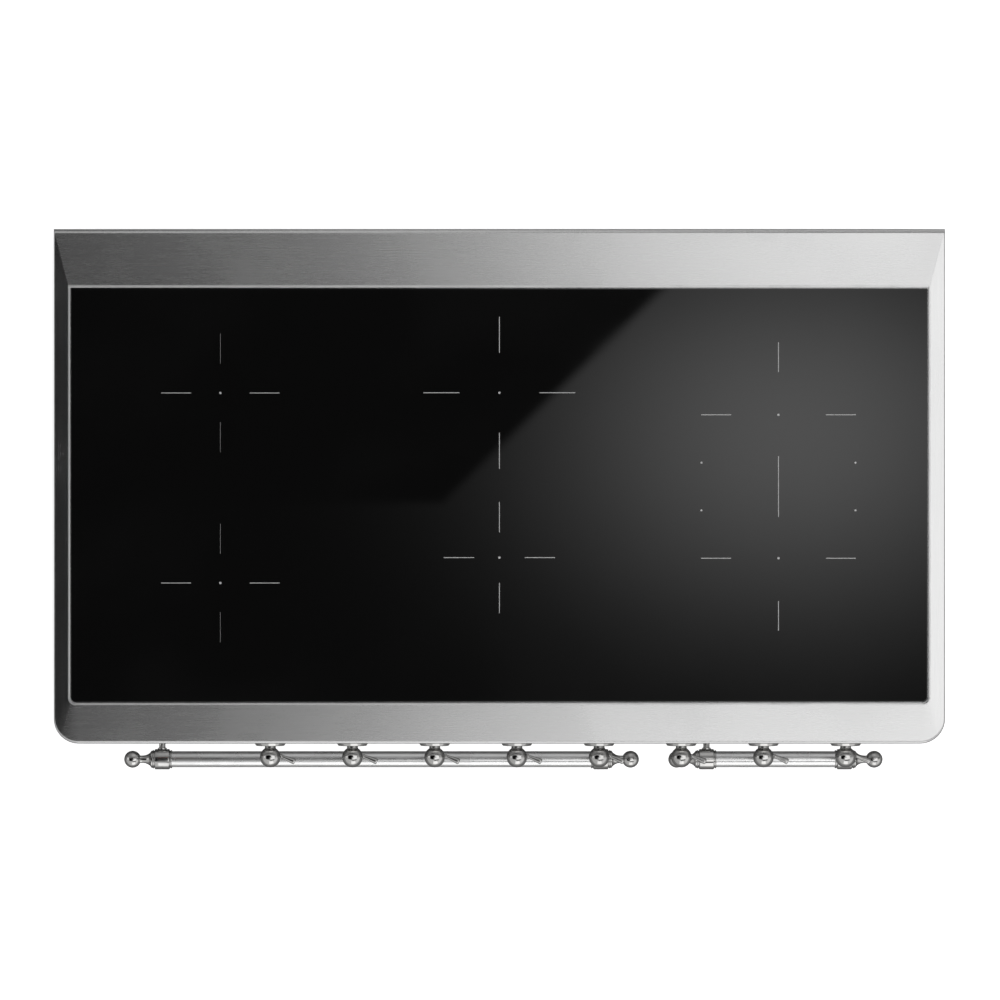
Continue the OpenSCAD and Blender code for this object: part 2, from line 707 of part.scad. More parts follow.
module control_fascia() color("silver") difference() {
    translate([0, 0, fascia_bottom_z]) linear_extrude(fascia_top_z - fascia_bottom_z) difference() {
        fascia_outline(0);
        fascia_outline(fascia_t);
        translate([-deck_w, fascia_return_y]) square([2 * deck_w, deck_d]);
    }
    for (i = [0:KNOBS - 1])
        translate([knob_x(i), fascia_y - 1, knob_z]) cylinder_y(bushing_d + 0.4, fascia_t + 2);
    for (x = POSTS) translate([x, fascia_y - 1, rail_rise]) cylinder_y(stud_d + 0.4, fascia_t + 2, $fn = 32);
    translate([display_x - display_w / 2, fascia_y - 1, knob_z - display_h / 2])
        cube([display_w, fascia_t + 2, display_h]);
}

// ---- controls ----

// Turned ring round a knob, hollow behind for the nut of the encoder
module knob_bezels() color("silver") for (i = [0:KNOBS - 1])
    translate([knob_x(i), fascia_y, knob_z]) rotate([90, 0, 0]) difference() {
        rotate_extrude() polygon([
            [0, 0], [bezel_d / 2, 0], [bezel_d / 2, bezel_t * 0.45],
            [bezel_face_d / 2, bezel_t], [neck_d / 2 + 3, bezel_t],
            [neck_d / 2 + 2, bezel_t - 1], [0, bezel_t - 1]
        ]);
        translate([0, 0, -1]) cylinder(d = bushing_d + 0.6, h = bezel_t + 2);
        translate([0, 0, -1]) cylinder(d = bushing_nut_af / cos(30) + 2, h = bushing_nut_t + 2);
    }

module encoders() color([0.2, 0.2, 0.22]) for (i = [0:KNOBS - 1])
    translate([knob_x(i), fascia_back_y, knob_z]) difference() {
        union() {
            translate([-encoder_body / 2, 0, -encoder_body / 2])
                cube([encoder_body, encoder_depth, encoder_body]);
            translate([0, -bushing_l, 0]) cylinder_y(bushing_d, bushing_l + 1);
        }
        translate([0, -bushing_l - 1, 0]) cylinder_y(spindle_d + 2 * running_gap, bushing_l + 5);
    }

// Board behind the encoders, and the smaller one behind the display
module control_boards() color("darkgreen") {
    board_y = fascia_back_y + encoder_depth;
    translate([knob_x(0) - 30, board_y, knob_z - 24])
        cube([knob_x(KNOBS - 1) - knob_x(0) + 60, board_t, 48]);
    translate([display_x - display_w / 2 - 6, board_y, knob_z - 24])
        cube([display_w + 12, board_t, 48]);
}

// Smoked window, flush with the fascia and held by a flange behind it
module display_window() color([0.04, 0.04, 0.05]) {
    fit = 0.3;
    translate([display_x - display_w / 2 + fit, fascia_y, knob_z - display_h / 2 + fit])
        cube([display_w - 2 * fit, fascia_t + 1, display_h - 2 * fit]);
    translate([display_x - display_w / 2 - 4, fascia_back_y, knob_z - display_h / 2 - 4])
        cube([display_w + 8, 1.5, display_h + 8]);
}

// A lever's own frame: its root on the ball, and its axis along +Z
module at_lever() {
    r = ball_d / 2;
    translate([r * cos(lever_back), r * sin(lever_back), 0])
        rotate([0, 0, -lever_lean]) rotate([0, 90, 0]) children();
}

module at_knob(i) translate([knob_x(i), ball_y, knob_z]) children();

module knob(i) color("gainsboro") at_knob(i) difference() {
    union() {
        sphere(d = ball_d);
        cylinder_y(neck_d, neck_back_y - ball_y);
    }
    translate([0, spindle_front_y - ball_y, 0]) cylinder_y(spindle_d + 2 * running_gap, fascia_y - ball_y);
    at_lever() {
        translate([0, 0, -lever_seat]) cylinder(d = lever_root_d + 0.2, h = lever_seat + 5);
        translate([0, 0, -lever_stub_l]) cylinder(d = lever_stub_d + 0.2, h = lever_stub_l);
    }
}

// Tapered lever with a rounded tip, on a stub that screws into a spot face in the ball
module lever(i) color("gainsboro") at_knob(i) at_lever() rotate_extrude() polygon([
    [0, -lever_stub_l + 0.5], [lever_stub_d / 2, -lever_stub_l + 0.5],
    [lever_stub_d / 2, -lever_seat], [lever_root_d / 2, -lever_seat], [lever_root_d / 2, 0.5],
    [lever_tip_d / 2, lever_l - 3], [lever_tip_d / 2, lever_l - 1.6],
    [lever_tip_d / 2 - 0.5, lever_l - 0.6], [lever_tip_d / 2 - 1.6, lever_l], [0, lever_l]
]);

module spindle(i) color("silver")
    translate([knob_x(i), spindle_front_y, knob_z])
        cylinder_y(spindle_d, fascia_back_y + 2.5 - spindle_front_y);

// ---- rails ----

module at_post(x) translate([x, rail_y, rail_rise]) children();

// Distance from a barrel's centre to the far side of its ring
barrel_half = barrel_l / 2 + ring_groove + ring_t;

module rail_bars() color("whitesmoke") for (rail = RAILS)
    translate([rail[0] + barrel_half - socket_l, rail_y, rail_rise]) rotate([0, 90, 0])
        cylinder(d = rail_d, h = rail[1] - rail[0] - 2 * (barrel_half - socket_l));

// Turned barrel with a ring at each end and a socket for the bar; side is 1 where the bar goes to +X
module barrel(side) rotate([0, side * 90, 0]) difference() {
    rotate_extrude() polygon([
        [0, -barrel_half], [ring_d / 2, -barrel_half], [ring_d / 2, -barrel_half + ring_t],
        [groove_d / 2, -barrel_half + ring_t], [groove_d / 2, -barrel_l / 2],
        [barrel_d / 2 - 1.5, -barrel_l / 2], [barrel_d / 2, -barrel_l / 2 + 1.5],
        [barrel_d / 2, barrel_l / 2 - 1.5], [barrel_d / 2 - 1.5, barrel_l / 2],
        [groove_d / 2, barrel_l / 2], [groove_d / 2, barrel_half - ring_t],
        [ring_d / 2, barrel_half - ring_t], [ring_d / 2, barrel_half], [0, barrel_half]
    ]);
    translate([0, 0, barrel_half - socket_l]) cylinder(d = rail_d + 0.2, h = socket_l + 1);
    translate([0, 0, -barrel_half - 1]) cylinder(d = finial_tenon_d + 0.2, h = finial_tenon_l + 1.5);
}

module rail_barrels() color("whitesmoke") difference() {
    for (rail = RAILS) {
        at_post(rail[0]) barrel(1);
        at_post(rail[1]) barrel(-1);
    }
    for (x = POSTS) at_post(x) translate([0, barrel_d / 2 - post_pin_l, 0])
        cylinder_y(post_pin_d + 0.2, barrel_d);
}

// Post from the fascia to the barrel, with a foot ring at each end and a stud at both
module rail_posts() color("whitesmoke") for (x = POSTS) at_post(x) {
    post_l = rail_reach - barrel_d / 2;
    translate([0, barrel_d / 2 - post_pin_l, 0]) cylinder_y(post_pin_d, post_pin_l + 1);
    translate([0, barrel_d / 2 + 0.1, 0]) {
        cylinder_y(post_d, post_l - 0.1);
        cylinder_y(post_d + 3.5, 1.8);
        translate([0, post_l - 3.1, 0]) cylinder_y(post_d + 8, 3);
        translate([0, post_l - 1, 0]) cylinder_y(stud_d, stud_l, $fn = 32);
    }
}

// Cove, neck and ball, turned in one piece; side is 1 where the barrel is on its +X side
module finial(side) {
    back = finial_reach - barrel_half;
    neck_r = 5.2;
    cove_r = ring_d / 2 - 1 - neck_r;
    rotate([0, side * 90, 0]) {
        sphere(d = finial_ball_d);
        rotate_extrude() difference() {
            square([neck_r + cove_r, back]);
            translate([neck_r + cove_r, back - 2 - cove_r]) circle(cove_r);
            translate([neck_r, -1]) square([cove_r + 1, back - 1 - cove_r]);
        }
        translate([0, 0, back - 1]) cylinder(d = finial_tenon_d, h = finial_tenon_l + 1);
    }
}

module rail_finials() color("whitesmoke") for (rail = RAILS) {
    at_post(rail[0] - finial_reach) finial(1);
    at_post(rail[1] + finial_reach) finial(-1);
}

// ---- supply and fixings ----

module terminal_block() color("ivory") translate([terminal_x, terminal_y, pan_top_z]) {
    cube([terminal_w, 32, terminal_z - pan_top_z]);
    translate([0, 0, terminal_z - pan_top_z]) difference() {
        cube([terminal_w, 32, 34]);
        for (k = [0:4]) translate([5 + k * 17, 6, 22]) cube([12, 20, 13]);
    }
}

// Moulded gland through the rear pocket, with its nut inside the chassis
module cable_gland() color([0.1, 0.1, 0.1])
    translate([gland_x, chassis_rear_y - recess_d, gland_z]) difference() {
        union() {
            translate([0, panel_t, 0]) cylinder_y(gland_flange_d, 10);
            translate([0, 11, 0]) hex_y(gland_flange_d - 4, 14);
            translate([0, -10, 0]) cylinder_y(gland_tail_d, 24);
            translate([0, -6, 0]) hex_y(gland_flange_d - 2, 6);
        }
        translate([0, -11, 0]) cylinder_y(gland_bore_d, gland_l + 8);
    }

module support_feet() color([0.1, 0.1, 0.1]) for (p = FEET) translate([p[0], p[1], 0]) {
    cylinder(d1 = foot_d - 6, d2 = foot_d, h = foot_h - 2);
    translate([0, 0, foot_h - 2]) cylinder(d = foot_d - 10, h = 2);
    translate([0, 0, foot_h - 1]) cylinder(d = 6, h = panel_t + 5, $fn = 32);
}

module fasteners() color("silver") {
    for (side = [-1, 1], y = SIDE_SCREWS)
        translate([side * chassis_w / 2, y, side_screw_z]) rotate([0, side * 90, 0]) screw(screw_l);
    for (x = REAR_SCREWS)
        translate([x, chassis_rear_y, rear_screw_z]) rotate([-90, 0, 0]) screw(screw_l);
    for (i = [0:KNOBS - 1]) translate([knob_x(i), fascia_y - bushing_nut_t, knob_z]) difference() {
        hex_y(bushing_nut_af, bushing_nut_t);
        translate([0, -1, 0]) cylinder_y(bushing_d + 0.1, bushing_nut_t + 2);
    }
    for (x = POSTS) translate([x, fascia_back_y, rail_rise]) difference() {
        hex_y(8, 4);
        translate([0, -1, 0]) cylinder_y(stud_d + 0.1, 6, $fn = 32);
    }
}

top_frame();
glass_top();
glass_seal();
coils_left();
coil_middle_rear();
coil_middle_front();
coils_right();
coil_carriers();
ferrite_bars();
zone_sensors();
carrier_springs();
shield_plates();
power_boards();
board_components();
heat_sinks();
wiring_loom();
fan_frames();
fan_rotor_left();
fan_rotor_right();
base_pan();
side_panel_left();
side_panel_right();
rear_panel();
control_fascia();
knob_bezels();
encoders();
control_boards();
display_window();
rail_bars();
rail_posts();
rail_barrels();
rail_finials();
terminal_block();
cable_gland();
support_feet();
fasteners();
for (i = [0:KNOBS - 1]) {
    knob(i);
    lever(i);
    spindle(i);
}
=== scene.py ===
import json
import math

import bpy
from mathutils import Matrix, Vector


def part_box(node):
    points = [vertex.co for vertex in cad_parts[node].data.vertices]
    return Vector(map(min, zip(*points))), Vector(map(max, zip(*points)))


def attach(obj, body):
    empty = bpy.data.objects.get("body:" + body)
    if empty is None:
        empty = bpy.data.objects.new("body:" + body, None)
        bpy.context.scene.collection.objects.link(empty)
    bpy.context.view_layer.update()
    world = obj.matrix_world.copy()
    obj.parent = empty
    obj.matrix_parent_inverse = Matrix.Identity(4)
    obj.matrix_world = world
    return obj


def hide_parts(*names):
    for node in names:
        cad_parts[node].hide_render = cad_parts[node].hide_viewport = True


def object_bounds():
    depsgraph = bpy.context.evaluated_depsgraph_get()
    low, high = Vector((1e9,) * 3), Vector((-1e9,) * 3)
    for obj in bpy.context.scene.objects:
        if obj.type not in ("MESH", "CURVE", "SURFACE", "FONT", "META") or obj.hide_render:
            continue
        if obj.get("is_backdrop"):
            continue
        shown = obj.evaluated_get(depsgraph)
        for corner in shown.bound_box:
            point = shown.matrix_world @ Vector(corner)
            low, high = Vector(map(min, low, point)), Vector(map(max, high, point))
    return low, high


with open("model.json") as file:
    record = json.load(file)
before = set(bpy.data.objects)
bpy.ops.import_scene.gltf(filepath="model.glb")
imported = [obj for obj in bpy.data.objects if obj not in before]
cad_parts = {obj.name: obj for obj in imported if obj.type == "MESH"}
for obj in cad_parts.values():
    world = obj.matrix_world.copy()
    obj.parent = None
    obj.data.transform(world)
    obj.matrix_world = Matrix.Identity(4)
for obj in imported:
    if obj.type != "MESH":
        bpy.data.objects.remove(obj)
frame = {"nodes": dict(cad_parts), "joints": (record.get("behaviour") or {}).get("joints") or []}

cad_box = [list(corner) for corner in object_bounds()]

# ------------------------------------------------------------------ camera
# A long lens looks straight down from far above the middle of the deck, so there is almost no perspective.
# The front edge is toward the foot of the frame.
deck_low, deck_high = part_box("top_frame")
TOP = deck_high.z
FRONT, REAR = deck_low.y, deck_high.y
HALF_WIDTH = deck_high.x
bpy.ops.object.select_all(action="DESELECT")
bpy.ops.object.camera_add(location=(0.0008, -0.0186, TOP + 7.572), rotation=(0, 0, 0))
overhead_camera = bpy.context.object
overhead_camera.name = "overhead_camera"
overhead_camera.data.lens = 200
overhead_camera.data.sensor_width = 36
overhead_camera.data.clip_end = 60
bpy.context.scene.camera = overhead_camera
bpy.context.scene.view_settings.view_transform = "Standard"


# ------------------------------------------------------------------ studio
# A seamless pale floor under the feet, air that is bright in front and dim behind, and one large overhead
# panel that is black on the left and lit on the right, with a slanting edge that the glass mirrors.
def new_material(name):
    """An empty procedural finish: its node tree, a Principled shader and the output."""
    material = bpy.data.materials.new(name)
    material.use_nodes = True
    nodes, links = material.node_tree.nodes, material.node_tree.links
    return material, nodes, links, nodes["Principled BSDF"]


def math_node(nodes, links, operation, first, second=None, clamp=False):
    node = nodes.new("ShaderNodeMath")
    node.operation, node.use_clamp = operation, clamp
    for slot, value in enumerate((first, second)):
        if value is None:
            continue
        if isinstance(value, (int, float)):
            node.inputs[slot].default_value = value
        else:
            links.new(value, node.inputs[slot])
    return node.outputs[0]


def smooth_step(nodes, links, value, low, high, at_low=0.0, at_high=1.0):
    node = nodes.new("ShaderNodeMapRange")
    node.interpolation_type = "SMOOTHSTEP"
    links.new(value, node.inputs["Value"])
    for name, number in (("From Min", low), ("From Max", high), ("To Min", at_low), ("To Max", at_high)):
        node.inputs[name].default_value = number
    return node.outputs["Result"]


def object_place(nodes, links):
    """The X, Y and Z sockets of a point on the piece, in metres."""
    place = nodes.new("ShaderNodeTexCoord")
    split = nodes.new("ShaderNodeSeparateXYZ")
    links.new(place.outputs["Object"], split.inputs[0])
    return split.outputs


world = bpy.data.worlds.new("studio_air")
world.use_nodes = True
bpy.context.scene.world = world
air, air_links = world.node_tree.nodes, world.node_tree.links
air_place = air.new("ShaderNodeTexCoord")
air_split = air.new("ShaderNodeSeparateXYZ")
air_links.new(air_place.outputs["Generated"], air_split.inputs[0])
front_light = smooth_step(air, air_links, air_split.outputs["Y"], -0.25, 0.35, 0.85, 0.15)
side_light = smooth_step(air, air_links, air_split.outputs["X"], -0.9, 0.9, 0.75, 1.1)
seen_by_eye = air.new("ShaderNodeLightPath").outputs["Is Camera Ray"]
air_mix = air.new("ShaderNodeMix")
air_mix.data_type = "FLOAT"
air_links.new(seen_by_eye, air_mix.inputs["Factor"])
air_links.new(math_node(air, air_links, "MULTIPLY", front_light, side_light), air_mix.inputs["A"])
air_mix.inputs["B"].default_value = 0.98
air["Background"].inputs["Color"].default_value = (1, 1, 1, 1)
air_links.new(air_mix.outputs["Result"], air["Background"].inputs["Strength"])

bpy.ops.mesh.primitive_plane_add(size=24, location=(0, 0, 0))
floor = bpy.context.object
floor.name = "studio_floor"
floor_paper, nodes, links, shader = new_material("pale_floor_paper")
shader.inputs["Roughness"].default_value = 0.9
shader.inputs["Specular IOR Level"].default_value = 0.1
shader.inputs["Emission Color"].default_value = (1, 1, 1, 1)
floor_ray = nodes.new("ShaderNodeLightPath")
eye_glow = math_node(nodes, links, "MULTIPLY", floor_ray.outputs["Is Camera Ray"], 0.75)
links.new(math_node(nodes, links, "ADD", eye_glow, 0.02), shader.inputs["Emission Strength"])
# The polished parts mirror a darker floor, so that their outlines stand off the white ground
floor_tone = nodes.new("ShaderNodeMix")
floor_tone.data_type = "RGBA"
links.new(floor_ray.outputs["Is Glossy Ray"], floor_tone.inputs["Factor"])
floor_tone.inputs[6].default_value = (0.86, 0.86, 0.86, 1)
floor_tone.inputs[7].default_value = (0.5, 0.5, 0.5, 1)
links.new(floor_tone.outputs[2], shader.inputs["Base Color"])
floor.data.materials.append(floor_paper)
floor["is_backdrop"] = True

PANEL_RISE = 2.6
bpy.ops.mesh.primitive_plane_add(size=1, location=(0, 0, 0))
panel = bpy.context.object
panel.name = "overhead_panel"
panel.scale = (6.4, 5.2, 1)
bpy.ops.object.transform_apply()
panel.location = (0, 0, TOP + PANEL_RISE)
panel.visible_camera = False
panel.visible_shadow = False
panel_light, nodes, links, shader = new_material("panel_light")
x, y, _ = object_place(nodes, links)


def panel_sum(first, second):
    return math_node(nodes, links, "ADD", first, second)


def panel_product(first, second):
    return math_node(nodes, links, "MULTIPLY", first, second)


# What the steel bands mirror: black on the left, lit on the right, and the other way round far front and rear
across = panel_sum(panel_sum(x, panel_product(y, -0.105)), 0.064)
left_half = smooth_step(nodes, links, across, -1.0, -0.2, 0.0, 0.2)
right_half = smooth_step(nodes, links, across, -0.22, 0.33, 0.0, 1.22)
side = panel_sum(left_half, right_half)
far = math_node(nodes, links, "ABSOLUTE", y)
outer = nodes.new("ShaderNodeMix")
outer.data_type = "FLOAT"
skewed_far = panel_sum(far, panel_product(y, 0.12))
links.new(smooth_step(nodes, links, skewed_far, 1.2, 1.7), outer.inputs["Factor"])
links.new(side, outer.inputs["A"])
links.new(smooth_step(nodes, links, across, -0.3, 0.5, 0.7, 0.05), outer.inputs["B"])
# What the glass mirrors: a soft pool of light over its right half, cut off along a slanting edge
POOL_X, POOL_Y, POOL_WIDE, POOL_DEEP = 0.5425, 0.114, 0.287, 0.222
dx = panel_product(panel_sum(x, -POOL_X), 1 / (POOL_WIDE * math.sqrt(2)))
dy = panel_product(panel_sum(y, -POOL_Y), 1 / (POOL_DEEP * math.sqrt(2)))
spread = panel_sum(panel_product(dx, dx), panel_product(dy, dy))
falloff = math_node(nodes, links, "POWER", math.e, panel_product(spread, -1.0))
slant = panel_sum(x, panel_product(y, -1.034))
cut = math_node(nodes, links, "MAXIMUM", smooth_step(nodes, links, slant, -0.099, -0.062),
                smooth_step(nodes, links, y, -0.012, -0.035))
pool = panel_product(panel_product(falloff, cut), 1.65)
inside_deep = smooth_step(nodes, links, far, 0.46, 0.41)
inside_wide = smooth_step(nodes, links, math_node(nodes, links, "ABSOLUTE", x), 0.86, 0.82)
inside = panel_product(inside_deep, inside_wide)
blend = nodes.new("ShaderNodeMix")
blend.data_type = "FLOAT"
links.new(inside, blend.inputs["Factor"])
links.new(outer.outputs["Result"], blend.inputs["A"])
links.new(pool, blend.inputs["B"])
glow = nodes.new("ShaderNodeEmission")
links.new(blend.outputs["Result"], glow.inputs["Strength"])
links.new(glow.outputs[0], nodes["Material Output"].inputs["Surface"])
panel.data.materials.append(panel_light)
panel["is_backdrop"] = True

for name, place, turn, size, watts in (
    ("front_softbox", (0.4, -3.6, 1.9), (62, 0, 6), 2.6, 16),
    ("left_softbox", (-3.6, 0.4, 1.6), (68, 0, -96), 1.8, 8),
    ("rear_softbox", (0.6, 3.4, 2.2), (58, 0, 172), 2.2, 10),
):
    bpy.ops.object.light_add(type="AREA", location=place, rotation=[math.radians(a) for a in turn])
    softbox = bpy.context.object
    softbox.name = name
    softbox.data.shape = "SQUARE"
    softbox.data.size = size
    softbox.data.energy = watts

# ------------------------------------------------------------------ shared finish effects
# Small flaws that more than one finish shows: brush lines, handling marks and worn edges.


def effect_group(name, inputs, outputs):
    """A node group with number inputs and named outputs."""
    group = bpy.data.node_groups.new(name, "ShaderNodeTree")
    for label, default in inputs:
        socket = group.interface.new_socket(label, in_out="INPUT", socket_type="NodeSocketFloat")
        socket.default_value = default
    for label, kind in outputs:
        group.interface.new_socket(label, in_out="OUTPUT", socket_type=kind)
    return group, group.nodes.new("NodeGroupInput"), group.nodes.new("NodeGroupOutput")


def noise_on(nodes, links, vector, scale, detail=3.0, roughness=0.5):
    node = nodes.new("ShaderNodeTexNoise")
    node.inputs["Scale"].default_value = scale
    node.inputs["Detail"].default_value = detail
    node.inputs["Roughness"].default_value = roughness
    links.new(vector, node.inputs["Vector"])
    return node.outputs["Fac"]


# Brush lines: noise drawn out along one axis, in three widths
brush_lines, group_in, group_out = effect_group(
    "brush_lines",
    [("Along X", 1.0), ("Along Y", 60.0), ("Along Z", 60.0)],
    [("Lines", "NodeSocketFloat"), ("Patches", "NodeSocketFloat")],
)
nodes, links = brush_lines.nodes, brush_lines.links
place = nodes.new("ShaderNodeTexCoord")
stretch = nodes.new("ShaderNodeCombineXYZ")
for axis in range(3):
    links.new(group_in.outputs[axis], stretch.inputs[axis])
drawn = nodes.new("ShaderNodeVectorMath")
drawn.operation = "MULTIPLY"
links.new(place.outputs["Object"], drawn.inputs[0])
links.new(stretch.outputs[0], drawn.inputs[1])
fine = noise_on(nodes, links, drawn.outputs[0], 26.0, 4.0, 0.65)
coarse = noise_on(nodes, links, drawn.outputs[0], 7.0, 2.0)
lines = math_node(nodes, links, "ADD", math_node(nodes, links, "MULTIPLY", fine, 0.7),
                  math_node(nodes, links, "MULTIPLY", coarse, 0.3))
links.new(lines, group_out.inputs["Lines"])
links.new(noise_on(nodes, links, place.outputs["Object"], 5.0, 3.0), group_out.inputs["Patches"])

# Handling marks: soft smudges and a few fine hairline scratches
handling_marks, group_in, group_out = effect_group(
    "handling_marks",
    [("Smudge Scale", 12.0), ("Scratch Scale", 60.0)],
    [("Smudge", "NodeSocketFloat"), ("Scratch", "NodeSocketFloat")],
)
nodes, links = handling_marks.nodes, handling_marks.links
place = nodes.new("ShaderNodeTexCoord")
smudge = nodes.new("ShaderNodeTexNoise")
smudge.inputs["Detail"].default_value = 4.0
smudge.inputs["Distortion"].default_value = 0.6
links.new(place.outputs["Object"], smudge.inputs["Vector"])
links.new(group_in.outputs["Smudge Scale"], smudge.inputs["Scale"])
links.new(smooth_step(nodes, links, smudge.outputs["Fac"], 0.42, 0.68), group_out.inputs["Smudge"])
scratch = nodes.new("ShaderNodeTexVoronoi")
scratch.feature = "DISTANCE_TO_EDGE"
links.new(place.outputs["Object"], scratch.inputs["Vector"])
links.new(group_in.outputs["Scratch Scale"], scratch.inputs["Scale"])
hairline = smooth_step(nodes, links, scratch.outputs["Distance"], 0.012, 0.0)
patchy = smooth_step(nodes, links, noise_on(nodes, links, place.outputs["Object"], 9.0, 2.0), 0.5, 0.62)
links.new(math_node(nodes, links, "MULTIPLY", hairline, patchy), group_out.inputs["Scratch"])

# Worn edges: where the surface is convex, less at the middle of a face
edge_wear, group_in, group_out = effect_group(
    "edge_wear", [("Wear", 1.0)], [("Edge", "NodeSocketFloat")]
)
nodes, links = edge_wear.nodes, edge_wear.links
place = nodes.new("ShaderNodeTexCoord")
form = nodes.new("ShaderNodeNewGeometry")
convex = smooth_step(nodes, links, form.outputs["Pointiness"], 0.52, 0.6)
broken = smooth_step(nodes, links, noise_on(nodes, links, place.outputs["Object"], 90.0, 3.0), 0.35, 0.7)
worn = math_node(nodes, links, "MULTIPLY", convex, broken)
worn_edge = math_node(nodes, links, "MULTIPLY", worn, group_in.outputs["Wear"], clamp=True)
links.new(worn_edge, group_out.inputs["Edge"])


def place_effect(nodes, group, **values):
    node = nodes.new("ShaderNodeGroup")
    node.node_tree = group
    for label, value in values.items():
        node.inputs[label.replace("_", " ")].default_value = value
    return node.outputs


def handled(nodes, smudge_scale, scratch_scale):
    """The handling marks at these two scales."""
    return place_effect(nodes, handling_marks, Smudge_Scale=smudge_scale, Scratch_Scale=scratch_scale)


def two_tone(nodes, links, factor, low, high):
    """A colour between two greys or tints."""
    node = nodes.new("ShaderNodeMix")
    node.data_type = "RGBA"
    links.new(factor, node.inputs["Factor"])
    node.inputs[6].default_value = (*low, 1)
    node.inputs[7].default_value = (*high, 1)
    return node.outputs[2]


def colour_from(nodes, links, shader, factor, low, high):
    """Base colour between two tones."""
    links.new(two_tone(nodes, links, factor, low, high), shader.inputs["Base Color"])


def roughness_from(nodes, links, shader, effect, amount, base):
    """Roughness that an effect adds to or takes from."""
    varied = math_node(nodes, links, "MULTIPLY", effect, amount)
    links.new(math_node(nodes, links, "ADD", varied, base), shader.inputs["Roughness"])


def bump_from(nodes, links, shader, height, depth, strength=1.0):
    """A bump of this depth in metres on the shader's normal."""
    bump = nodes.new("ShaderNodeBump")
    bump.inputs["Distance"].default_value = depth
    bump.inputs["Strength"].default_value = strength
    links.new(height, bump.inputs["Height"])
    links.new(bump.outputs[0], shader.inputs["Normal"])


# ------------------------------------------------------------------ deck
# The frame round the glass is one pressing of brushed stainless steel sheet. Its bands fall gently from a
# bright bead at the glass to a rolled nose and a skirt, and they meet in crisp mitres at the rear corners.
def brushed_finish(name, along, tint=0.6, rough=0.3, depth=0.000008):
    """Stainless steel with brush lines along one axis of the piece."""
    material, nodes, links, shader = new_material(name)
    draw = {"X": (1.2, 70.0, 70.0), "Y": (70.0, 1.2, 70.0), "Z": (70.0, 70.0, 1.2)}[along]
    lines = place_effect(nodes, brush_lines, Along_X=draw[0], Along_Y=draw[1], Along_Z=draw[2])
    marks = handled(nodes, 6.0, 14.0)
    colour_from(nodes, links, shader, lines["Lines"], (tint * 0.86,) * 3, (tint * 1.12,) * 3)
    shader.inputs["Metallic"].default_value = 1.0
    varied = math_node(nodes, links, "ADD", math_node(nodes, links, "MULTIPLY", lines["Lines"], 0.14),
                       math_node(nodes, links, "MULTIPLY", marks["Smudge"], 0.03))
    links.new(math_node(nodes, links, "ADD", varied, rough - 0.07), shader.inputs["Roughness"])
    bump_from(nodes, links, shader, lines["Lines"], depth)
    return material


steel_along = brushed_finish("brushed_steel_along", "X", rough=0.26)
steel_across = brushed_finish("brushed_steel_across", "Y", rough=0.23)
# The bead is satin polished, so it catches light from all round
bead_steel, nodes, links, shader = new_material("satin_bead_steel")
marks = handled(nodes, 20.0, 50.0)
colour_from(nodes, links, shader, marks["Smudge"], (0.72,) * 3, (0.66,) * 3)
shader.inputs["Metallic"].default_value = 0.5
roughness_from(nodes, links, shader, marks["Smudge"], 0.08, 0.3)


def object_mode():
    bpy.ops.object.mode_set(mode="OBJECT")


def select_only(piece=None):
    """Selects one object and makes it active, or just clears the selection."""
    bpy.ops.object.select_all(action="DESELECT")
    if piece:
        piece.select_set(True)
        bpy.context.view_layer.objects.active = piece


def select_where(piece, mode, keep):
    """Selects a piece's vertices, edges or faces for which keep(centre, element) holds. Ends in edit mode."""
    bpy.ops.object.mode_set(mode="EDIT")
    bpy.ops.mesh.select_mode(type=mode)
    bpy.ops.mesh.select_all(action="DESELECT")
    object_mode()
    mesh = piece.data
    if mode == "VERT":
        for vertex in mesh.vertices:
            vertex.select = keep(vertex.co, vertex)
    elif mode == "EDGE":
        for line in mesh.edges:
            a, b = (mesh.vertices[i].co for i in line.vertices)
            line.select = keep((a + b) / 2, (a, b))
    else:
        for face in mesh.polygons:
            face.select = keep(face.center, face)
    bpy.ops.object.mode_set(mode="EDIT")


def start_piece(name):
    """Leaves the last added primitive alone in the selection, with its new name."""
    piece = bpy.context.object
    piece.name = piece.data.name = name
    return piece


def sheet_outline(width, front, rear, corner, z, steps=12):
    """A flat sheet with two round front corners."""
    select_only()
    bpy.ops.mesh.primitive_plane_add(size=1, location=(0, (front + rear) / 2, z))
    piece = bpy.context.object
    piece.scale = (width, rear - front, 1)
    bpy.ops.object.transform_apply(location=True, rotation=False, scale=True)
    middle = (front + rear) / 2
    select_where(piece, "VERT", lambda co, _: co.y < middle)
    bpy.ops.mesh.bevel(offset=corner, segments=steps, affect="VERTICES")
    object_mode()
    return piece


def join_pieces(pieces, name):
    select_only()
    for piece in pieces:
        piece.select_set(True)
    bpy.context.view_layer.objects.active = pieces[0]
    bpy.ops.object.join()
    return start_piece(name)


glass_low, glass_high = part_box("glass_top")
CORNER, BAND_FALL, SKIRT = 0.034, 0.003, 0.030
GLASS_CORNER, GAP, RIM, LEDGE = 0.007, 0.001, 0.0025, 0.009
LEDGE_Z = glass_low.z - 0.0012
glass_width = glass_high.x - glass_low.x
nose_z = TOP - BAND_FALL
outlines = [sheet_outline(2 * HALF_WIDTH, FRONT, REAR, CORNER, z) for z in (nose_z - SKIRT, nose_z)]
for beyond, corner, z in (
    (GAP + RIM, GLASS_CORNER + GAP + RIM, TOP),
    (GAP, GLASS_CORNER + GAP, TOP),
    (GAP, GLASS_CORNER + GAP, LEDGE_Z),
    (-LEDGE, 0.001, LEDGE_Z),
):
    opening_front, opening_rear = glass_low.y - beyond, glass_high.y + beyond
    outlines.append(sheet_outline(glass_width + 2 * beyond, opening_front, opening_rear, corner, z))


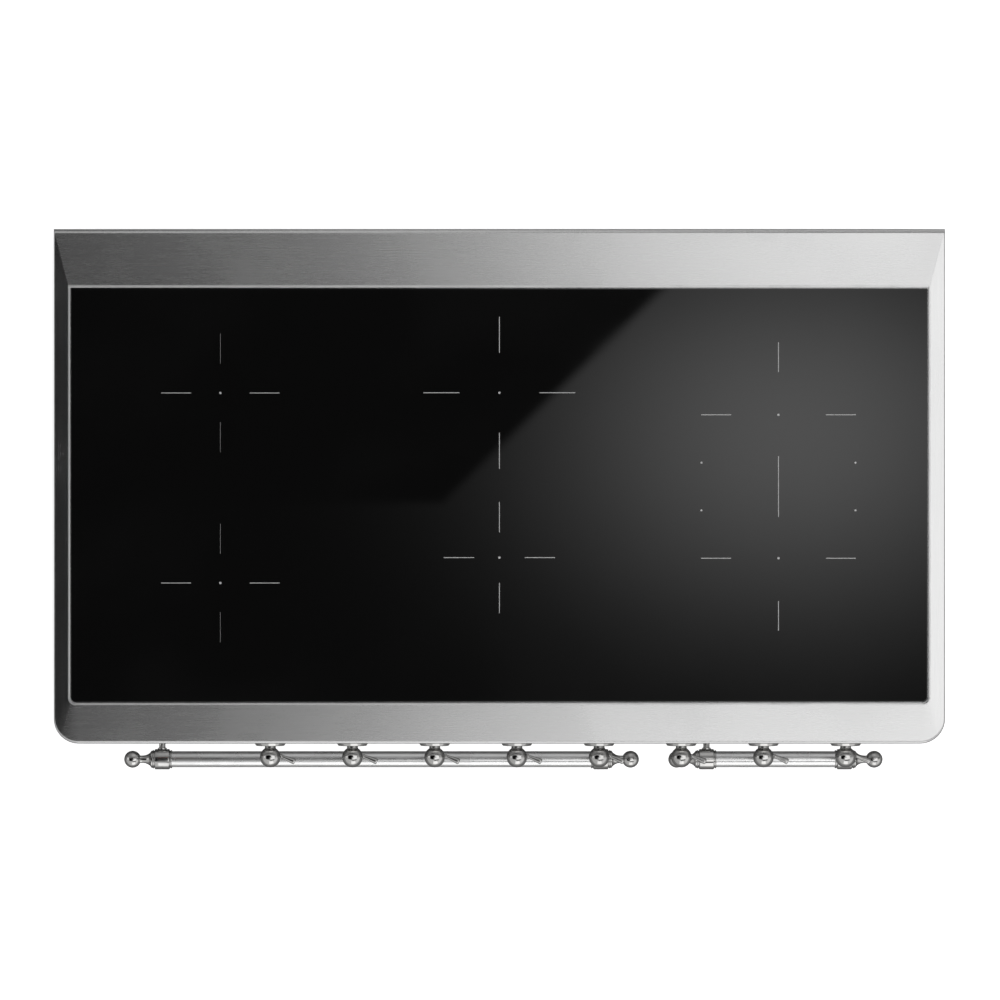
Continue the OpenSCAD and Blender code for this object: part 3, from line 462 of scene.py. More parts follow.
def spot(point):
    """A point rounded for comparing, to a hundredth of a millimetre."""
    return tuple(round(c, 5) for c in point)


loops = [{spot(v.co) for v in o.data.vertices} for o in outlines]
deck = join_pieces(outlines, "deck_frame")
select_where(deck, "FACE", lambda co, _: True)
bpy.ops.mesh.delete(type="ONLY_FACE")
for lower, upper in zip(loops, loops[1:]):
    object_mode()
    select_where(deck, "EDGE", lambda co, ends: {spot(ends[0]), spot(ends[1])} <= lower
                 or {spot(ends[0]), spot(ends[1])} <= upper)
    bpy.ops.mesh.bridge_edge_loops()
object_mode()
# The nose is rolled, the bead's two edges are broken, and the rear corners are dressed
rim_x, rim_rear, rim_front = glass_high.x + GAP + RIM, glass_high.y + GAP + RIM, glass_low.y - GAP - RIM
select_where(deck, "EDGE", lambda co, ends: all(abs(e.z - nose_z) < 1e-5 for e in ends))
bpy.ops.mesh.bevel(offset=0.004, segments=6, profile=0.5)
object_mode()
select_where(deck, "EDGE", lambda co, ends: all(abs(e.z - TOP) < 1e-5 for e in ends)
             and abs(ends[0].x - ends[1].x) + abs(ends[0].y - ends[1].y) > 1e-4
             and abs(co.x) < rim_x + 1e-5
             and not (abs(abs(ends[0].x) - abs(ends[1].x)) > 1e-3 and abs(ends[0].y - ends[1].y) > 1e-3
                      and co.y > 0))
bpy.ops.mesh.bevel(offset=0.001, segments=4, profile=0.5)
object_mode()
select_where(deck, "EDGE", lambda co, ends: abs(ends[0].z - ends[1].z) > 0.01
             and all(e.y > REAR - 0.002 and abs(e.x) > HALF_WIDTH - 0.002 for e in ends))
bpy.ops.mesh.bevel(offset=0.0008, segments=2, profile=0.5)
bpy.ops.mesh.select_all(action="SELECT")
bpy.ops.mesh.remove_doubles(threshold=0.000001)
bpy.ops.mesh.normals_make_consistent(inside=False)
object_mode()
deck.data.materials.append(steel_along)
deck.data.materials.append(steel_across)
deck.data.materials.append(bead_steel)
for face in deck.data.polygons:
    c = face.center
    level = max(abs(deck.data.vertices[i].co.z - TOP) for i in face.vertices) < 0.0012
    if level and abs(c.x) < rim_x + 0.0008 and rim_front - 0.0008 < c.y < rim_rear + 0.0008:
        face.material_index = 2
    elif abs(face.normal.x) > abs(face.normal.y) + 0.001 and c.z > TOP - BAND_FALL - 0.004:
        face.material_index = 1
thick = deck.modifiers.new("sheet_thickness", "SOLIDIFY")
thick.thickness = 0.0012
thick.offset = -1
bpy.ops.object.modifier_apply(modifier=thick.name)
# Nothing stands above the bead
select_where(deck, "VERT", lambda co, _: co.z > TOP + 1e-6)
bpy.ops.transform.resize(value=(1, 1, 0), center_override=(0, 0, TOP))
object_mode()
# The mitres stay crisp, and each band keeps its own flat shading up to its bends
select_where(deck, "EDGE", lambda co, ends: co.z > TOP - BAND_FALL - 0.008 and co.y > rim_rear - 0.001
             and abs(ends[0].y - ends[1].y) > 0.0005 and abs(abs(ends[0].x) - abs(ends[1].x)) > 0.0001
             and all(rim_x - 0.0045 < abs(e.x) for e in ends))
bpy.ops.mesh.mark_sharp()
object_mode()
bpy.ops.object.shade_smooth_by_angle(angle=math.radians(32), keep_sharp_edges=True)
flat_bands = deck.modifiers.new("flat_bands", "WEIGHTED_NORMAL")
flat_bands.keep_sharp = True
flat_bands.weight = 80
bpy.ops.object.modifier_apply(modifier=flat_bands.name)
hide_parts("top_frame")
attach(deck, "chassis")

# ------------------------------------------------------------------ glass
# One pane of black ceramic glass, 4 mm thick, cut and then polished on top, with ground and seamed edges.
# It lies a little below the bead, on a bed of silicone that the deck's ledge carries.
glass = sheet_outline(glass_width, glass_low.y, glass_high.y, GLASS_CORNER, glass_high.z, 10)
glass.name = glass.data.name = "glass_pane"
select_where(glass, "VERT", lambda co, _: co.y > 0.1)
bpy.ops.mesh.bevel(offset=0.0012, segments=3, affect="VERTICES")
bpy.ops.mesh.select_all(action="SELECT")
bpy.ops.mesh.extrude_region_move(TRANSFORM_OT_translate={"value": (0, 0, glass_low.z - glass_high.z)})
bpy.ops.mesh.select_all(action="SELECT")
bpy.ops.mesh.normals_make_consistent(inside=False)
object_mode()
select_where(glass, "EDGE", lambda co, ends: all(abs(e.z - glass_high.z) < 1e-5 for e in ends))
bpy.ops.mesh.bevel(offset=0.0006, segments=3, profile=0.5)
object_mode()
# A narrow border keeps the middle of the pane optically flat
select_where(glass, "FACE", lambda co, face: abs(face.normal.z) > 0.99 and face.area > 0.1)
bpy.ops.mesh.inset(thickness=0.0008)
object_mode()
bpy.ops.object.shade_smooth_by_angle(angle=math.radians(40))
black_glass, nodes, links, shader = new_material("black_ceramic_glass")
marks = handled(nodes, 3.5, 9.0)
colour_from(nodes, links, shader, marks["Smudge"], (0.0038,) * 3, (0.005,) * 3)
shader.inputs["IOR"].default_value = 1.54
roughness_from(nodes, links, shader, marks["Smudge"], 0.02, 0.02)
glass.data.materials.append(black_glass)
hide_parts("glass_top")
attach(glass, "chassis")

# ------------------------------------------------------------------ zone marks
# Each zone is shown by four thin strokes and a centre dot of fired grey enamel on the glass. The two zones on
# the right share one long stroke and four corner dots, because they can be run together as one.
MARK_LIFT = glass_high.z + 0.00003


def enamel_stroke(x, y, length, width=0.001, upright=False):
    """A stroke with soft ends."""
    select_only()
    bpy.ops.mesh.primitive_plane_add(size=1, location=(x, y, MARK_LIFT))
    stroke = bpy.context.object
    stroke.scale = (width, length, 1) if upright else (length, width, 1)
    bpy.ops.object.transform_apply(location=True, rotation=False, scale=True)
    select_where(stroke, "VERT", lambda co, _: True)
    bpy.ops.mesh.bevel(offset=width * 0.3, segments=2, affect="VERTICES")
    object_mode()
    return stroke


def enamel_dot(x, y, radius=0.0016):
    select_only()
    place = (x, y, MARK_LIFT)
    bpy.ops.mesh.primitive_circle_add(vertices=20, radius=radius, fill_type="NGON", location=place)
    dot = bpy.context.object
    bpy.ops.object.transform_apply()
    select_where(dot, "FACE", lambda co, _: True)
    bpy.ops.mesh.inset(thickness=radius * 0.3)
    object_mode()
    return dot


def zone_cross(x, y, inner, outer, arms="news", thin=False):
    """Strokes from inner to outer radius on the named sides, and the centre dot."""
    middle, length = (inner + outer) / 2, outer - inner
    strokes = [enamel_dot(x, y)]
    for side, dx, dy in (("e", 1, 0), ("w", -1, 0), ("n", 0, 1), ("s", 0, -1)):
        if side in arms:
            narrow = thin and dy != 0
            strokes.append(enamel_stroke(x + dx * middle, y + dy * middle, length,
                                         0.00025 if narrow else 0.001, upright=dy != 0))
    return strokes


small_low, small_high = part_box("coils_left")
large_low, large_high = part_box("coil_middle_rear")
medium_low, medium_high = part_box("coil_middle_front")
bridge_low, bridge_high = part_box("coils_right")
COIL_INSET = 0.004
small_x = (small_low.x + small_high.x) / 2
small_r = (small_high.x - small_low.x) / 2 + COIL_INSET
small_ys = (small_high.y + COIL_INSET - small_r, small_low.y - COIL_INSET + small_r)
bridge_x = (bridge_low.x + bridge_high.x) / 2
bridge_y = (bridge_low.y + bridge_high.y) / 2
half_bridge = (bridge_high.y - bridge_low.y + 2 * COIL_INSET) / 4
bridge_r = (bridge_high.x - bridge_low.x) / 2 + COIL_INSET
strokes = []
for y in small_ys:
    strokes += zone_cross(small_x, y, 0.0400, 0.0808, thin=True)
large_y = (large_low.y + large_high.y) / 2
strokes += zone_cross(0, large_y, 0.0545, (large_high.x - large_low.x) / 2 + COIL_INSET + 0.0005)
medium_y = (medium_low.y + medium_high.y) / 2
strokes += zone_cross(0, medium_y, 0.0345, (medium_high.x - medium_low.x) / 2 + COIL_INSET + 0.0005)
strokes += zone_cross(bridge_x, bridge_y + half_bridge, 0.0645, 0.1055, arms="ew")
strokes += zone_cross(bridge_x, bridge_y - half_bridge, 0.0645, 0.1055, arms="ew")
for way in (1, -1):
    strokes.append(enamel_stroke(bridge_x, bridge_y + way * (half_bridge + 0.0785), 0.0405, upright=True))
    for side in (1, -1):
        strokes.append(enamel_dot(bridge_x + side * bridge_r, bridge_y + way * 0.0325, 0.0014))
strokes.append(enamel_stroke(bridge_x, bridge_y, 0.0830, upright=True))
zone_marks = join_pieces(strokes, "zone_marks")
grey_enamel, nodes, links, shader = new_material("grey_enamel_print")
print_place = nodes.new("ShaderNodeTexCoord")
pinholes = noise_on(nodes, links, print_place.outputs["Object"], 1400.0, 2.0)
colour_from(nodes, links, shader, smooth_step(nodes, links, pinholes, 0.3, 0.5), (0.3,) * 3, (0.62,) * 3)
roughness_from(nodes, links, shader, pinholes, 0.2, 0.4)
zone_marks.data.materials.append(grey_enamel)
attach(zone_marks, "chassis")

# ------------------------------------------------------------------ knobs
# Each knob is a turned and plated brass ball on a short neck, with its lever screwed into a spot face in its
# side. The one knob is copied onto each encoder spindle.
nickel, nodes, links, shader = new_material("polished_nickel")
marks = handled(nodes, 38.0, 90.0)
wear = place_effect(nodes, edge_wear, Wear=0.5)
plated = two_tone(nodes, links, marks["Smudge"], (0.56, 0.555, 0.545), (0.5, 0.496, 0.49))
# Painted reflection: the base colour darkens toward the outlines of the turned parts, standing in for the
# dark-walled studio that they mirror
turning_away = nodes.new("ShaderNodeLayerWeight")
turning_away.inputs["Blend"].default_value = 0.5
outline = smooth_step(nodes, links, turning_away.outputs["Facing"], 0.25, 0.75)
painted_dark_reflection = nodes.new("ShaderNodeMix")
painted_dark_reflection.data_type = "RGBA"
links.new(outline, painted_dark_reflection.inputs["Factor"])
links.new(plated, painted_dark_reflection.inputs[6])
# The dark grey the outlines fade to is painted reflection, not the colour of the plating
painted_dark_reflection.inputs[7].default_value = (0.13, 0.129, 0.127, 1)
links.new(painted_dark_reflection.outputs[2], shader.inputs["Base Color"])
shader.inputs["Metallic"].default_value = 1.0
dulled = math_node(nodes, links, "ADD", math_node(nodes, links, "MULTIPLY", marks["Smudge"], 0.05),
                   math_node(nodes, links, "MULTIPLY", wear["Edge"], 0.08))
links.new(math_node(nodes, links, "ADD", dulled, 0.08), shader.inputs["Roughness"])
bump_from(nodes, links, shader, marks["Scratch"], 0.000004, 0.5)


def extrude_ring(radius, last_radius, rise, centre):
    """Extrudes the selected ring up by rise and scales it from last_radius to radius."""
    bpy.ops.mesh.extrude_edges_move(TRANSFORM_OT_translate={"value": (0, 0, rise)})
    ratio = radius / last_radius
    bpy.ops.transform.resize(value=(ratio, ratio, 1), center_override=(0, 0, centre))


def turned_piece(name, stations, segments=56, closed=True):
    """A turned piece along +Z from the origin: stations are (radius, height) in millimetres."""
    select_only()
    first_r, first_z = (value / 1000 for value in stations[0])
    bpy.ops.mesh.primitive_circle_add(vertices=segments, radius=first_r, location=(0, 0, first_z))
    piece = start_piece(name)
    bpy.ops.object.transform_apply()
    bpy.ops.object.mode_set(mode="EDIT")
    bpy.ops.mesh.select_mode(type="EDGE")
    bpy.ops.mesh.select_all(action="SELECT")
    if closed:
        bpy.ops.mesh.edge_face_add()
        bpy.ops.mesh.select_mode(type="EDGE")
    last_r, last_z = first_r, first_z
    for r, z in stations[1:]:
        r, z = r / 1000, z / 1000
        extrude_ring(r, last_r, z - last_z, z)
        last_r, last_z = r, z
    if closed:
        bpy.ops.mesh.edge_face_add()
    bpy.ops.mesh.select_all(action="SELECT")
    bpy.ops.mesh.normals_make_consistent(inside=False)
    object_mode()
    return piece


def arc_stations(centre_r, centre_z, radius, start, stop, steps):
    """Stations on an arc of the profile, by angle in degrees from straight out."""
    angles = [math.radians(start + (stop - start) * i / steps) for i in range(steps + 1)]
    return [(max(centre_r + radius * math.cos(a), 0.02), centre_z + radius * math.sin(a)) for a in angles]


def place_piece(piece, turn, place, angle=32):
    """Turns a piece by degrees about X, then Y, then Z, moves it, and leaves both in its mesh."""
    select_only(piece)
    piece.rotation_euler = [math.radians(a) for a in turn]
    piece.location = place
    bpy.ops.object.transform_apply()
    bpy.ops.object.shade_smooth_by_angle(angle=math.radians(angle))
    return piece


def copy_piece(piece, name, shift):
    twin = piece.copy()
    twin.data = piece.data.copy()
    twin.name = twin.data.name = name
    bpy.context.scene.collection.objects.link(twin)
    select_only(twin)
    twin.location = shift
    bpy.ops.object.transform_apply()
    return twin


dial_centres = {j["child"]: Vector(j["pos_m"]) for j in frame["joints"] if j["child"].startswith("dial_")}
first_dial = dial_centres["dial_1"]
fascia_low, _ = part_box("control_fascia")
ball_low, ball_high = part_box("knob_1")
BALL_R = (first_dial.y - ball_low.y) * 1000
NECK_BACK = (ball_high.y - first_dial.y) * 1000
NECK_R = 7.5
# The ball runs from its front pole to the cove where it meets the neck
meet = math.degrees(math.acos((NECK_R + 0.9) / BALL_R))
knob_profile = arc_stations(0, 0, BALL_R, -89.6, meet, 30)
knob_profile += [(NECK_R + 0.35, knob_profile[-1][1] + 0.5), (NECK_R, knob_profile[-1][1] + 1.1),
                 (NECK_R, NECK_BACK - 0.5), (NECK_R - 0.5, NECK_BACK)]
knob = turned_piece("dial_knob_1", knob_profile, 64)
place_piece(knob, (-90, 0, 0), first_dial)
knob.data.materials.append(nickel)
lever_reach = 21.5
lever_profile = [(2.3, -1.6), (2.3, 0.4), (2.75, 0.7), (2.9, 1.2), (2.7, 1.75), (2.35, 2.1)]
lever_profile += [(2.4, 3.0), (2.75, 7.0), (3.2, 11.5), (3.62, 15.0), (3.9, 17.6), (4.0, 18.9)]
lever_profile += arc_stations(1.9, 19.4, 2.1, 0, 80, 6) + [(0.9, lever_reach - 0.02)]
lever = turned_piece("dial_lever_1", lever_profile, 40)
root = Vector((BALL_R * math.cos(math.radians(7)), BALL_R * math.sin(math.radians(7)), 0)) / 1000
place_piece(lever, (0, 90, -22.5), first_dial + root)
lever.data.materials.append(nickel)
for body, centre in dial_centres.items():
    number = body.split("_")[1]
    if number == "1":
        this_knob, this_lever = knob, lever
    else:
        this_knob = copy_piece(knob, f"dial_knob_{number}", centre - first_dial)
        this_lever = copy_piece(lever, f"dial_lever_{number}", centre - first_dial)
    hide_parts(f"knob_{number}")
    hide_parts(f"lever_{number}")
    for piece in (this_knob, this_lever):
        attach(piece, body)

# ------------------------------------------------------------------ knob bezels
# A turned, plated ring sits on the fascia behind each knob. It has a stepped foot, a cone and a rounded face,
# and it is hollow behind for the encoder's nut.
bezel_low, bezel_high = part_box("knob_bezels")
bezel_t = (bezel_high.y - bezel_low.y) * 1000
bezel_profile = [(10.0, 0.0), (22.6, 0.0), (23.0, 0.4), (23.0, 1.5), (22.6, 1.9), (21.9, 2.0), (21.9, 2.5)]
bezel_profile += [(22.4, 2.7), (22.5, 3.0), (21.9, 4.6), (20.9, 6.4)]
# Down from the face, these are radius and depth
bezel_profile += [(r, bezel_t - deep) for r, deep in (
    (20.0, 1.0), (19.6, 0.35), (19.0, 0), (12.5, 0), (11.9, 0.25), (10.6, 0.9), (9.6, 1.0), (5.2, 1.0))]
bezel = turned_piece("dial_bezels", bezel_profile, 72, closed=False)
place_piece(bezel, (90, 0, 0), (first_dial.x, bezel_high.y, first_dial.z))
rings = [bezel] + [copy_piece(bezel, f"dial_bezels_{i}", (centre.x - first_dial.x, 0, 0))
                   for i, centre in enumerate(dial_centres.values()) if i]
bezels = join_pieces(rings, "dial_bezels")
bezels.data.materials.append(nickel)
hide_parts("knob_bezels")
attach(bezels, "chassis")

# ------------------------------------------------------------------ rails
# Two polished tubes stand off the fascia. Each end sits in a turned barrel with a bead at either side, the
# barrel is carried by a post with a foot ring, and a coved neck and ball close the end.
bar_low, bar_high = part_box("rail_bars")
rail_y, rail_z = (bar_low.y + bar_high.y) / 2, (bar_low.z + bar_high.z) / 2
bar_r = (bar_high.z - bar_low.z) / 2 * 1000
barrel_low, barrel_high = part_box("rail_barrels")
BARREL_HALF = 13.5
left_x, right_x = barrel_low.x + BARREL_HALF / 1000, barrel_high.x - BARREL_HALF / 1000
SHORT_SPAN, RAIL_SPACE = 0.192, 0.147
posts = [left_x, right_x - SHORT_SPAN - RAIL_SPACE, right_x - SHORT_SPAN, right_x]

bars = []
for start, stop in ((posts[0], posts[1]), (posts[2], posts[3])):
    reach = (stop - start) * 1000 - 2 * (BARREL_HALF - 6)
    bar_profile = [(bar_r - 0.6, 0), (bar_r, 0.6)] + [(bar_r, reach * i / 8) for i in range(1, 8)]
    bar = turned_piece("rail_bar", bar_profile + [(bar_r, reach - 0.6), (bar_r - 0.6, reach)], 72)
    bars.append(place_piece(bar, (0, 90, 0), (start + (BARREL_HALF - 6) / 1000, rail_y, rail_z)))
rail_tubes = join_pieces(bars, "rail_tubes")
tube_chrome, nodes, links, shader = new_material("polished_tube_chrome")
marks = handled(nodes, 22.0, 60.0)
polish = place_effect(nodes, brush_lines, Along_X=2.0, Along_Y=160.0, Along_Z=160.0)
colour_from(nodes, links, shader, marks["Smudge"], (0.8,) * 3, (0.75,) * 3)
shader.inputs["Metallic"].default_value = 1.0
roughness_from(nodes, links, shader, marks["Smudge"], 0.05, 0.24)
bump_from(nodes, links, shader, polish["Lines"], 0.000003, 0.6)
rail_tubes.data.materials.append(tube_chrome)
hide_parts("rail_bars")
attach(rail_tubes, "chassis")


def bead(centre_z, half, outer, root_r):
    """Stations of a rounded bead on a turned piece."""
    round_part = arc_stations(outer - half, centre_z, half, -80, 80, 6)
    return [(root_r, centre_z - half)] + round_part + [(root_r, centre_z + half)]


barrel_profile = [(4.2, -BARREL_HALF), (11.6, -BARREL_HALF)] + bead(-12.5, 0.98, 12.9, 11.9)
shoulder = [(11.9, 10.7), (12.6, 10.5), (13.7, 10.1), (14.1, 9.6), (14.2, 9.0), (14.2, 3.0)]
barrel_profile += [(r, -along) for r, along in shoulder] + shoulder[::-1]
barrel_profile += bead(12.5, 0.98, 12.9, 11.9)
barrel_profile += [(11.6, BARREL_HALF), (11.33, BARREL_HALF - 0.2), (11.33, 7.5)]
barrel = turned_piece("rail_barrels_turned", barrel_profile, 64, closed=False)
away = copy_piece(barrel, "barrel_away", (0, 0, 0))
place_piece(barrel, (0, 90, 0), (posts[0], rail_y, rail_z))
place_piece(away, (0, -90, 0), (posts[1], rail_y, rail_z))
barrels = join_pieces([barrel, away, copy_piece(barrel, "barrel_c", (posts[2] - posts[0], 0, 0)),
                       copy_piece(away, "barrel_d", (posts[3] - posts[1], 0, 0))], "rail_barrels_turned")
barrels.data.materials.append(nickel)
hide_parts("rail_barrels")
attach(barrels, "chassis")

finial_low, finial_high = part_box("rail_finials")
FINIAL_R = (finial_high.z - finial_low.z) / 2 * 1000
reach = (left_x - finial_low.x) * 1000 - FINIAL_R
foot = reach - BARREL_HALF
finial_profile = arc_stations(0, 0, FINIAL_R, -89.5, 58, 22)
finial_profile += [(5.35, 10.1), (5.2, 11.2), (5.2, 13.5), (5.35, 15.6)]
finial_profile += [(5.8, 18.2), (6.9, 21.0), (8.5, 23.4), (10.4, 25.2), (11.6, 25.9)]
finial_profile += [(12.0, 26.3), (12.0, 27.6), (11.6, foot)]
finial = turned_piece("rail_finials_turned", finial_profile, 56)
mirror_end = copy_piece(finial, "finial_away", (0, 0, 0))
place_piece(finial, (0, 90, 0), (posts[0] - reach / 1000, rail_y, rail_z))
place_piece(mirror_end, (0, -90, 0), (posts[1] + reach / 1000, rail_y, rail_z))
near_short = copy_piece(finial, "finial_c", (posts[2] - posts[0], 0, 0))
far_short = copy_piece(mirror_end, "finial_d", (posts[3] - posts[1], 0, 0))
finials = join_pieces([finial, mirror_end, near_short, far_short], "rail_finials_turned")
finials.data.materials.append(nickel)
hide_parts("rail_finials")
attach(finials, "chassis")

post_reach = (fascia_low.y - rail_y) * 1000
post_profile = [(3.3, 10.4), (3.3, 13.9), (5.6, 13.8), (6.1, 14.3), (6.1, 15.4), (5.7, 15.9)]
post_profile += [(4.6, 16.2), (4.35, 16.8)]
post_profile += [(r, post_reach - back) for r, back in (
    (4.35, 6.0), (4.7, 4.8), (6.0, 3.6), (7.9, 3.0), (8.4, 2.6), (8.4, 0.4), (8.2, 0))]
post = turned_piece("rail_posts_turned", post_profile, 40)
place_piece(post, (-90, 0, 0), (posts[0], rail_y, rail_z))
other_posts = [copy_piece(post, f"post_{i}", (x - posts[0], 0, 0)) for i, x in enumerate(posts) if i]
standing = join_pieces([post] + other_posts, "rail_posts_turned")
standing.data.materials.append(nickel)
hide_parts("rail_posts")
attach(standing, "chassis")

# ------------------------------------------------------------------ fascia
# The front panel is folded from 1.5 mm brushed stainless steel and wraps round both front corners. A ring of
# engraved ticks, filled with black, stands round each bezel to show its setting.


def finish_node(node, material):
    """Gives a CAD node its finish."""
    mesh = frame["nodes"][node].data
    mesh.materials.clear()
    mesh.materials.append(material)


finish_node("control_fascia", brushed_finish("brushed_steel_fascia", "X", tint=0.44, rough=0.3))
ink_fill, nodes, links, shader = new_material("black_filled_engraving")
ink_place = nodes.new("ShaderNodeTexCoord")
ink_grain = noise_on(nodes, links, ink_place.outputs["Object"], 900.0)
colour_from(nodes, links, shader, ink_grain, (0.01,) * 3, (0.035,) * 3)
roughness_from(nodes, links, shader, ink_grain, 0.2, 0.4)
ticks = []
TICKS, SWEEP = 10, 270
for step in range(TICKS):
    angle = math.radians(SWEEP * step / (TICKS - 1))
    long_tick = step in (0, TICKS - 1)
    select_only()
    bpy.ops.mesh.primitive_plane_add(size=1, location=(0, 0, 0))
    tick = bpy.context.object
    tick.scale = (0.0036 if long_tick else 0.0024, 0.0009 if long_tick else 0.0006, 1)
    bpy.ops.object.transform_apply()
    select_where(tick, "VERT", lambda co, _: co.x > 0)
    bpy.ops.mesh.bevel(offset=0.0002, segments=2, affect="VERTICES")
    object_mode()
    tick.rotation_euler = (math.radians(90), angle, 0)
    tick.location = (0.0275 * math.cos(angle), 0, -0.0275 * math.sin(angle))
    bpy.ops.object.transform_apply()
    ticks.append(tick)
scale_ring = join_pieces(ticks, "setting_ticks")
select_only(scale_ring)
scale_ring.location = (first_dial.x, fascia_low.y - 0.00004, first_dial.z)
bpy.ops.object.transform_apply()
other_scales = [copy_piece(scale_ring, f"ticks_{i}", (centre.x - first_dial.x, 0, 0))
                for i, centre in enumerate(dial_centres.values()) if i]
setting_ticks = join_pieces([scale_ring] + other_scales, "setting_ticks")
setting_ticks.data.materials.append(ink_fill)
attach(setting_ticks, "chassis")

# ------------------------------------------------------------------ display
# A smoked window is set into the left end of the fascia. Behind it are the timer's four amber digits and
# the six residual heat lights, one for each zone.
smoked_window, nodes, links, shader = new_material("smoked_window")
marks = handled(nodes, 18.0, 40.0)
colour_from(nodes, links, shader, marks["Smudge"], (0.006,) * 3, (0.01,) * 3)
roughness_from(nodes, links, shader, marks["Smudge"], 0.05, 0.05)
finish_node("display_window", smoked_window)
window_low, window_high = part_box("display_window")
lamp_x, lamp_z = (window_low.x + window_high.x) / 2, (window_low.z + window_high.z) / 2
lamp_y = window_low.y - 0.00005
segments = []


def lit_bar(x, z, width, height):
    """One lit bar of the display, a flat shape with cut corners."""
    select_only()
    bpy.ops.mesh.primitive_plane_add(size=1, rotation=(math.radians(90), 0, 0), location=(x, lamp_y, z))
    bar = bpy.context.object
    bar.scale = (width, height, 1)
    bpy.ops.object.transform_apply()
    select_where(bar, "VERT", lambda co, _: True)
    bpy.ops.mesh.bevel(offset=min(width, height) * 0.45, segments=1, affect="VERTICES")
    object_mode()
    segments.append(bar)


def lit_digit(x, z, on):
    """A seven-bar digit with the named bars lit."""
    w, h, t = 0.0055, 0.0055, 0.0011
    for name, bx, bz, upright in (("a", 0, h, 0), ("g", 0, 0, 0), ("d", 0, -h, 0), ("f", -w / 2, h / 2, 1),
                                  ("b", w / 2, h / 2, 1), ("e", -w / 2, -h / 2, 1), ("c", w / 2, -h / 2, 1)):
        if name in on:
            lit_bar(x + bx, z + bz, t if upright else w - t * 1.3, h - t * 1.3 if upright else t)


for place in (-0.017, -0.006, 0.006, 0.017):
    lit_digit(lamp_x + place, lamp_z, "abcdef")
for dz in (-0.0022, 0.0022):
    lit_bar(lamp_x, lamp_z + dz, 0.0012, 0.0012)
for side in (-1, 1):
    for dx in (-0.007, 0, 0.007):
        lit_bar(lamp_x + side * 0.047 + dx, lamp_z, 0.0022, 0.0022)
display_lights = join_pieces(segments, "display_lights")
lit_amber, nodes, links, shader = new_material("lit_amber")
lamp_place = nodes.new("ShaderNodeTexCoord")
lamp_grain = noise_on(nodes, links, lamp_place.outputs["Object"], 700.0)
lit = two_tone(nodes, links, lamp_grain, (0.55, 0.1, 0.015), (0.75, 0.16, 0.03))
links.new(lit, shader.inputs["Base Color"])
links.new(lit, shader.inputs["Emission Color"])
shader.inputs["Emission Strength"].default_value = 0.8
shader.inputs["Roughness"].default_value = 0.5
display_lights.data.materials.append(lit_amber)
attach(display_lights, "chassis")

# ------------------------------------------------------------------ sheet-metal chassis
# The two sides, the louvred back and the base pan are zinc-coated steel sheet, cut and folded. Screws into
# the pan's flange hold the sides and the back.
zinc_sheet, nodes, links, shader = new_material("zinc_coated_sheet")
zinc_place = nodes.new("ShaderNodeTexCoord")
spangle = nodes.new("ShaderNodeTexVoronoi")
spangle.inputs["Scale"].default_value = 95.0
links.new(zinc_place.outputs["Object"], spangle.inputs["Vector"])
flakes = nodes.new("ShaderNodeSeparateColor")
links.new(spangle.outputs["Color"], flakes.inputs[0])
marks = handled(nodes, 5.0, 12.0)
colour_from(nodes, links, shader, flakes.outputs[0], (0.40, 0.41, 0.42), (0.52, 0.53, 0.54))
shader.inputs["Metallic"].default_value = 0.85
dull = math_node(nodes, links, "ADD", math_node(nodes, links, "MULTIPLY", flakes.outputs[1], 0.12),
                 math_node(nodes, links, "MULTIPLY", marks["Smudge"], 0.1))
links.new(math_node(nodes, links, "ADD", dull, 0.36), shader.inputs["Roughness"])
bump_from(nodes, links, shader, flakes.outputs[2], 0.000006, 0.5)
for node in ("side_panel_left", "side_panel_right", "rear_panel", "base_pan"):
    finish_node(node, zinc_sheet)

# Screws, nuts and spindles are bright zinc-plated steel
plated_steel, nodes, links, shader = new_material("zinc_plated_steel")
wear = place_effect(nodes, edge_wear, Wear=0.8)
marks = handled(nodes, 120.0, 300.0)
colour_from(nodes, links, shader, marks["Smudge"], (0.5, 0.51, 0.52), (0.6, 0.61, 0.62))
shader.inputs["Metallic"].default_value = 1.0
roughness_from(nodes, links, shader, wear["Edge"], -0.1, 0.33)
bump_from(nodes, links, shader, marks["Smudge"], 0.00001, 0.4)
for node in ["fasteners"] + [f"spindle_{i}" for i in range(1, 9)]:
    finish_node(node, plated_steel)

# ------------------------------------------------------------------ feet, gland and other mouldings
# Moulded parts: rubber feet and seal, black nylon gland, fans and encoders, and an ivory terminal block and
# coil carriers. The ceramic sensors and the ferrite bars are pressed from powder and fired.


def moulded_finish(name, low, high, rough, grain, depth):
    """A moulded plastic or rubber with a fine spark-eroded grain."""
    material, nodes, links, shader = new_material(name)
    place = nodes.new("ShaderNodeTexCoord")
    texture = noise_on(nodes, links, place.outputs["Object"], grain, 2.0)
    wear = place_effect(nodes, edge_wear, Wear=0.6)
    marks = handled(nodes, 25.0, 60.0)
    shade = math_node(nodes, links, "ADD", math_node(nodes, links, "MULTIPLY", marks["Smudge"], 0.5),
                      math_node(nodes, links, "MULTIPLY", wear["Edge"], 0.5), clamp=True)
    colour_from(nodes, links, shader, shade, low, high)
    roughness_from(nodes, links, shader, texture, 0.16, rough - 0.08)
    bump_from(nodes, links, shader, texture, depth)
    return material


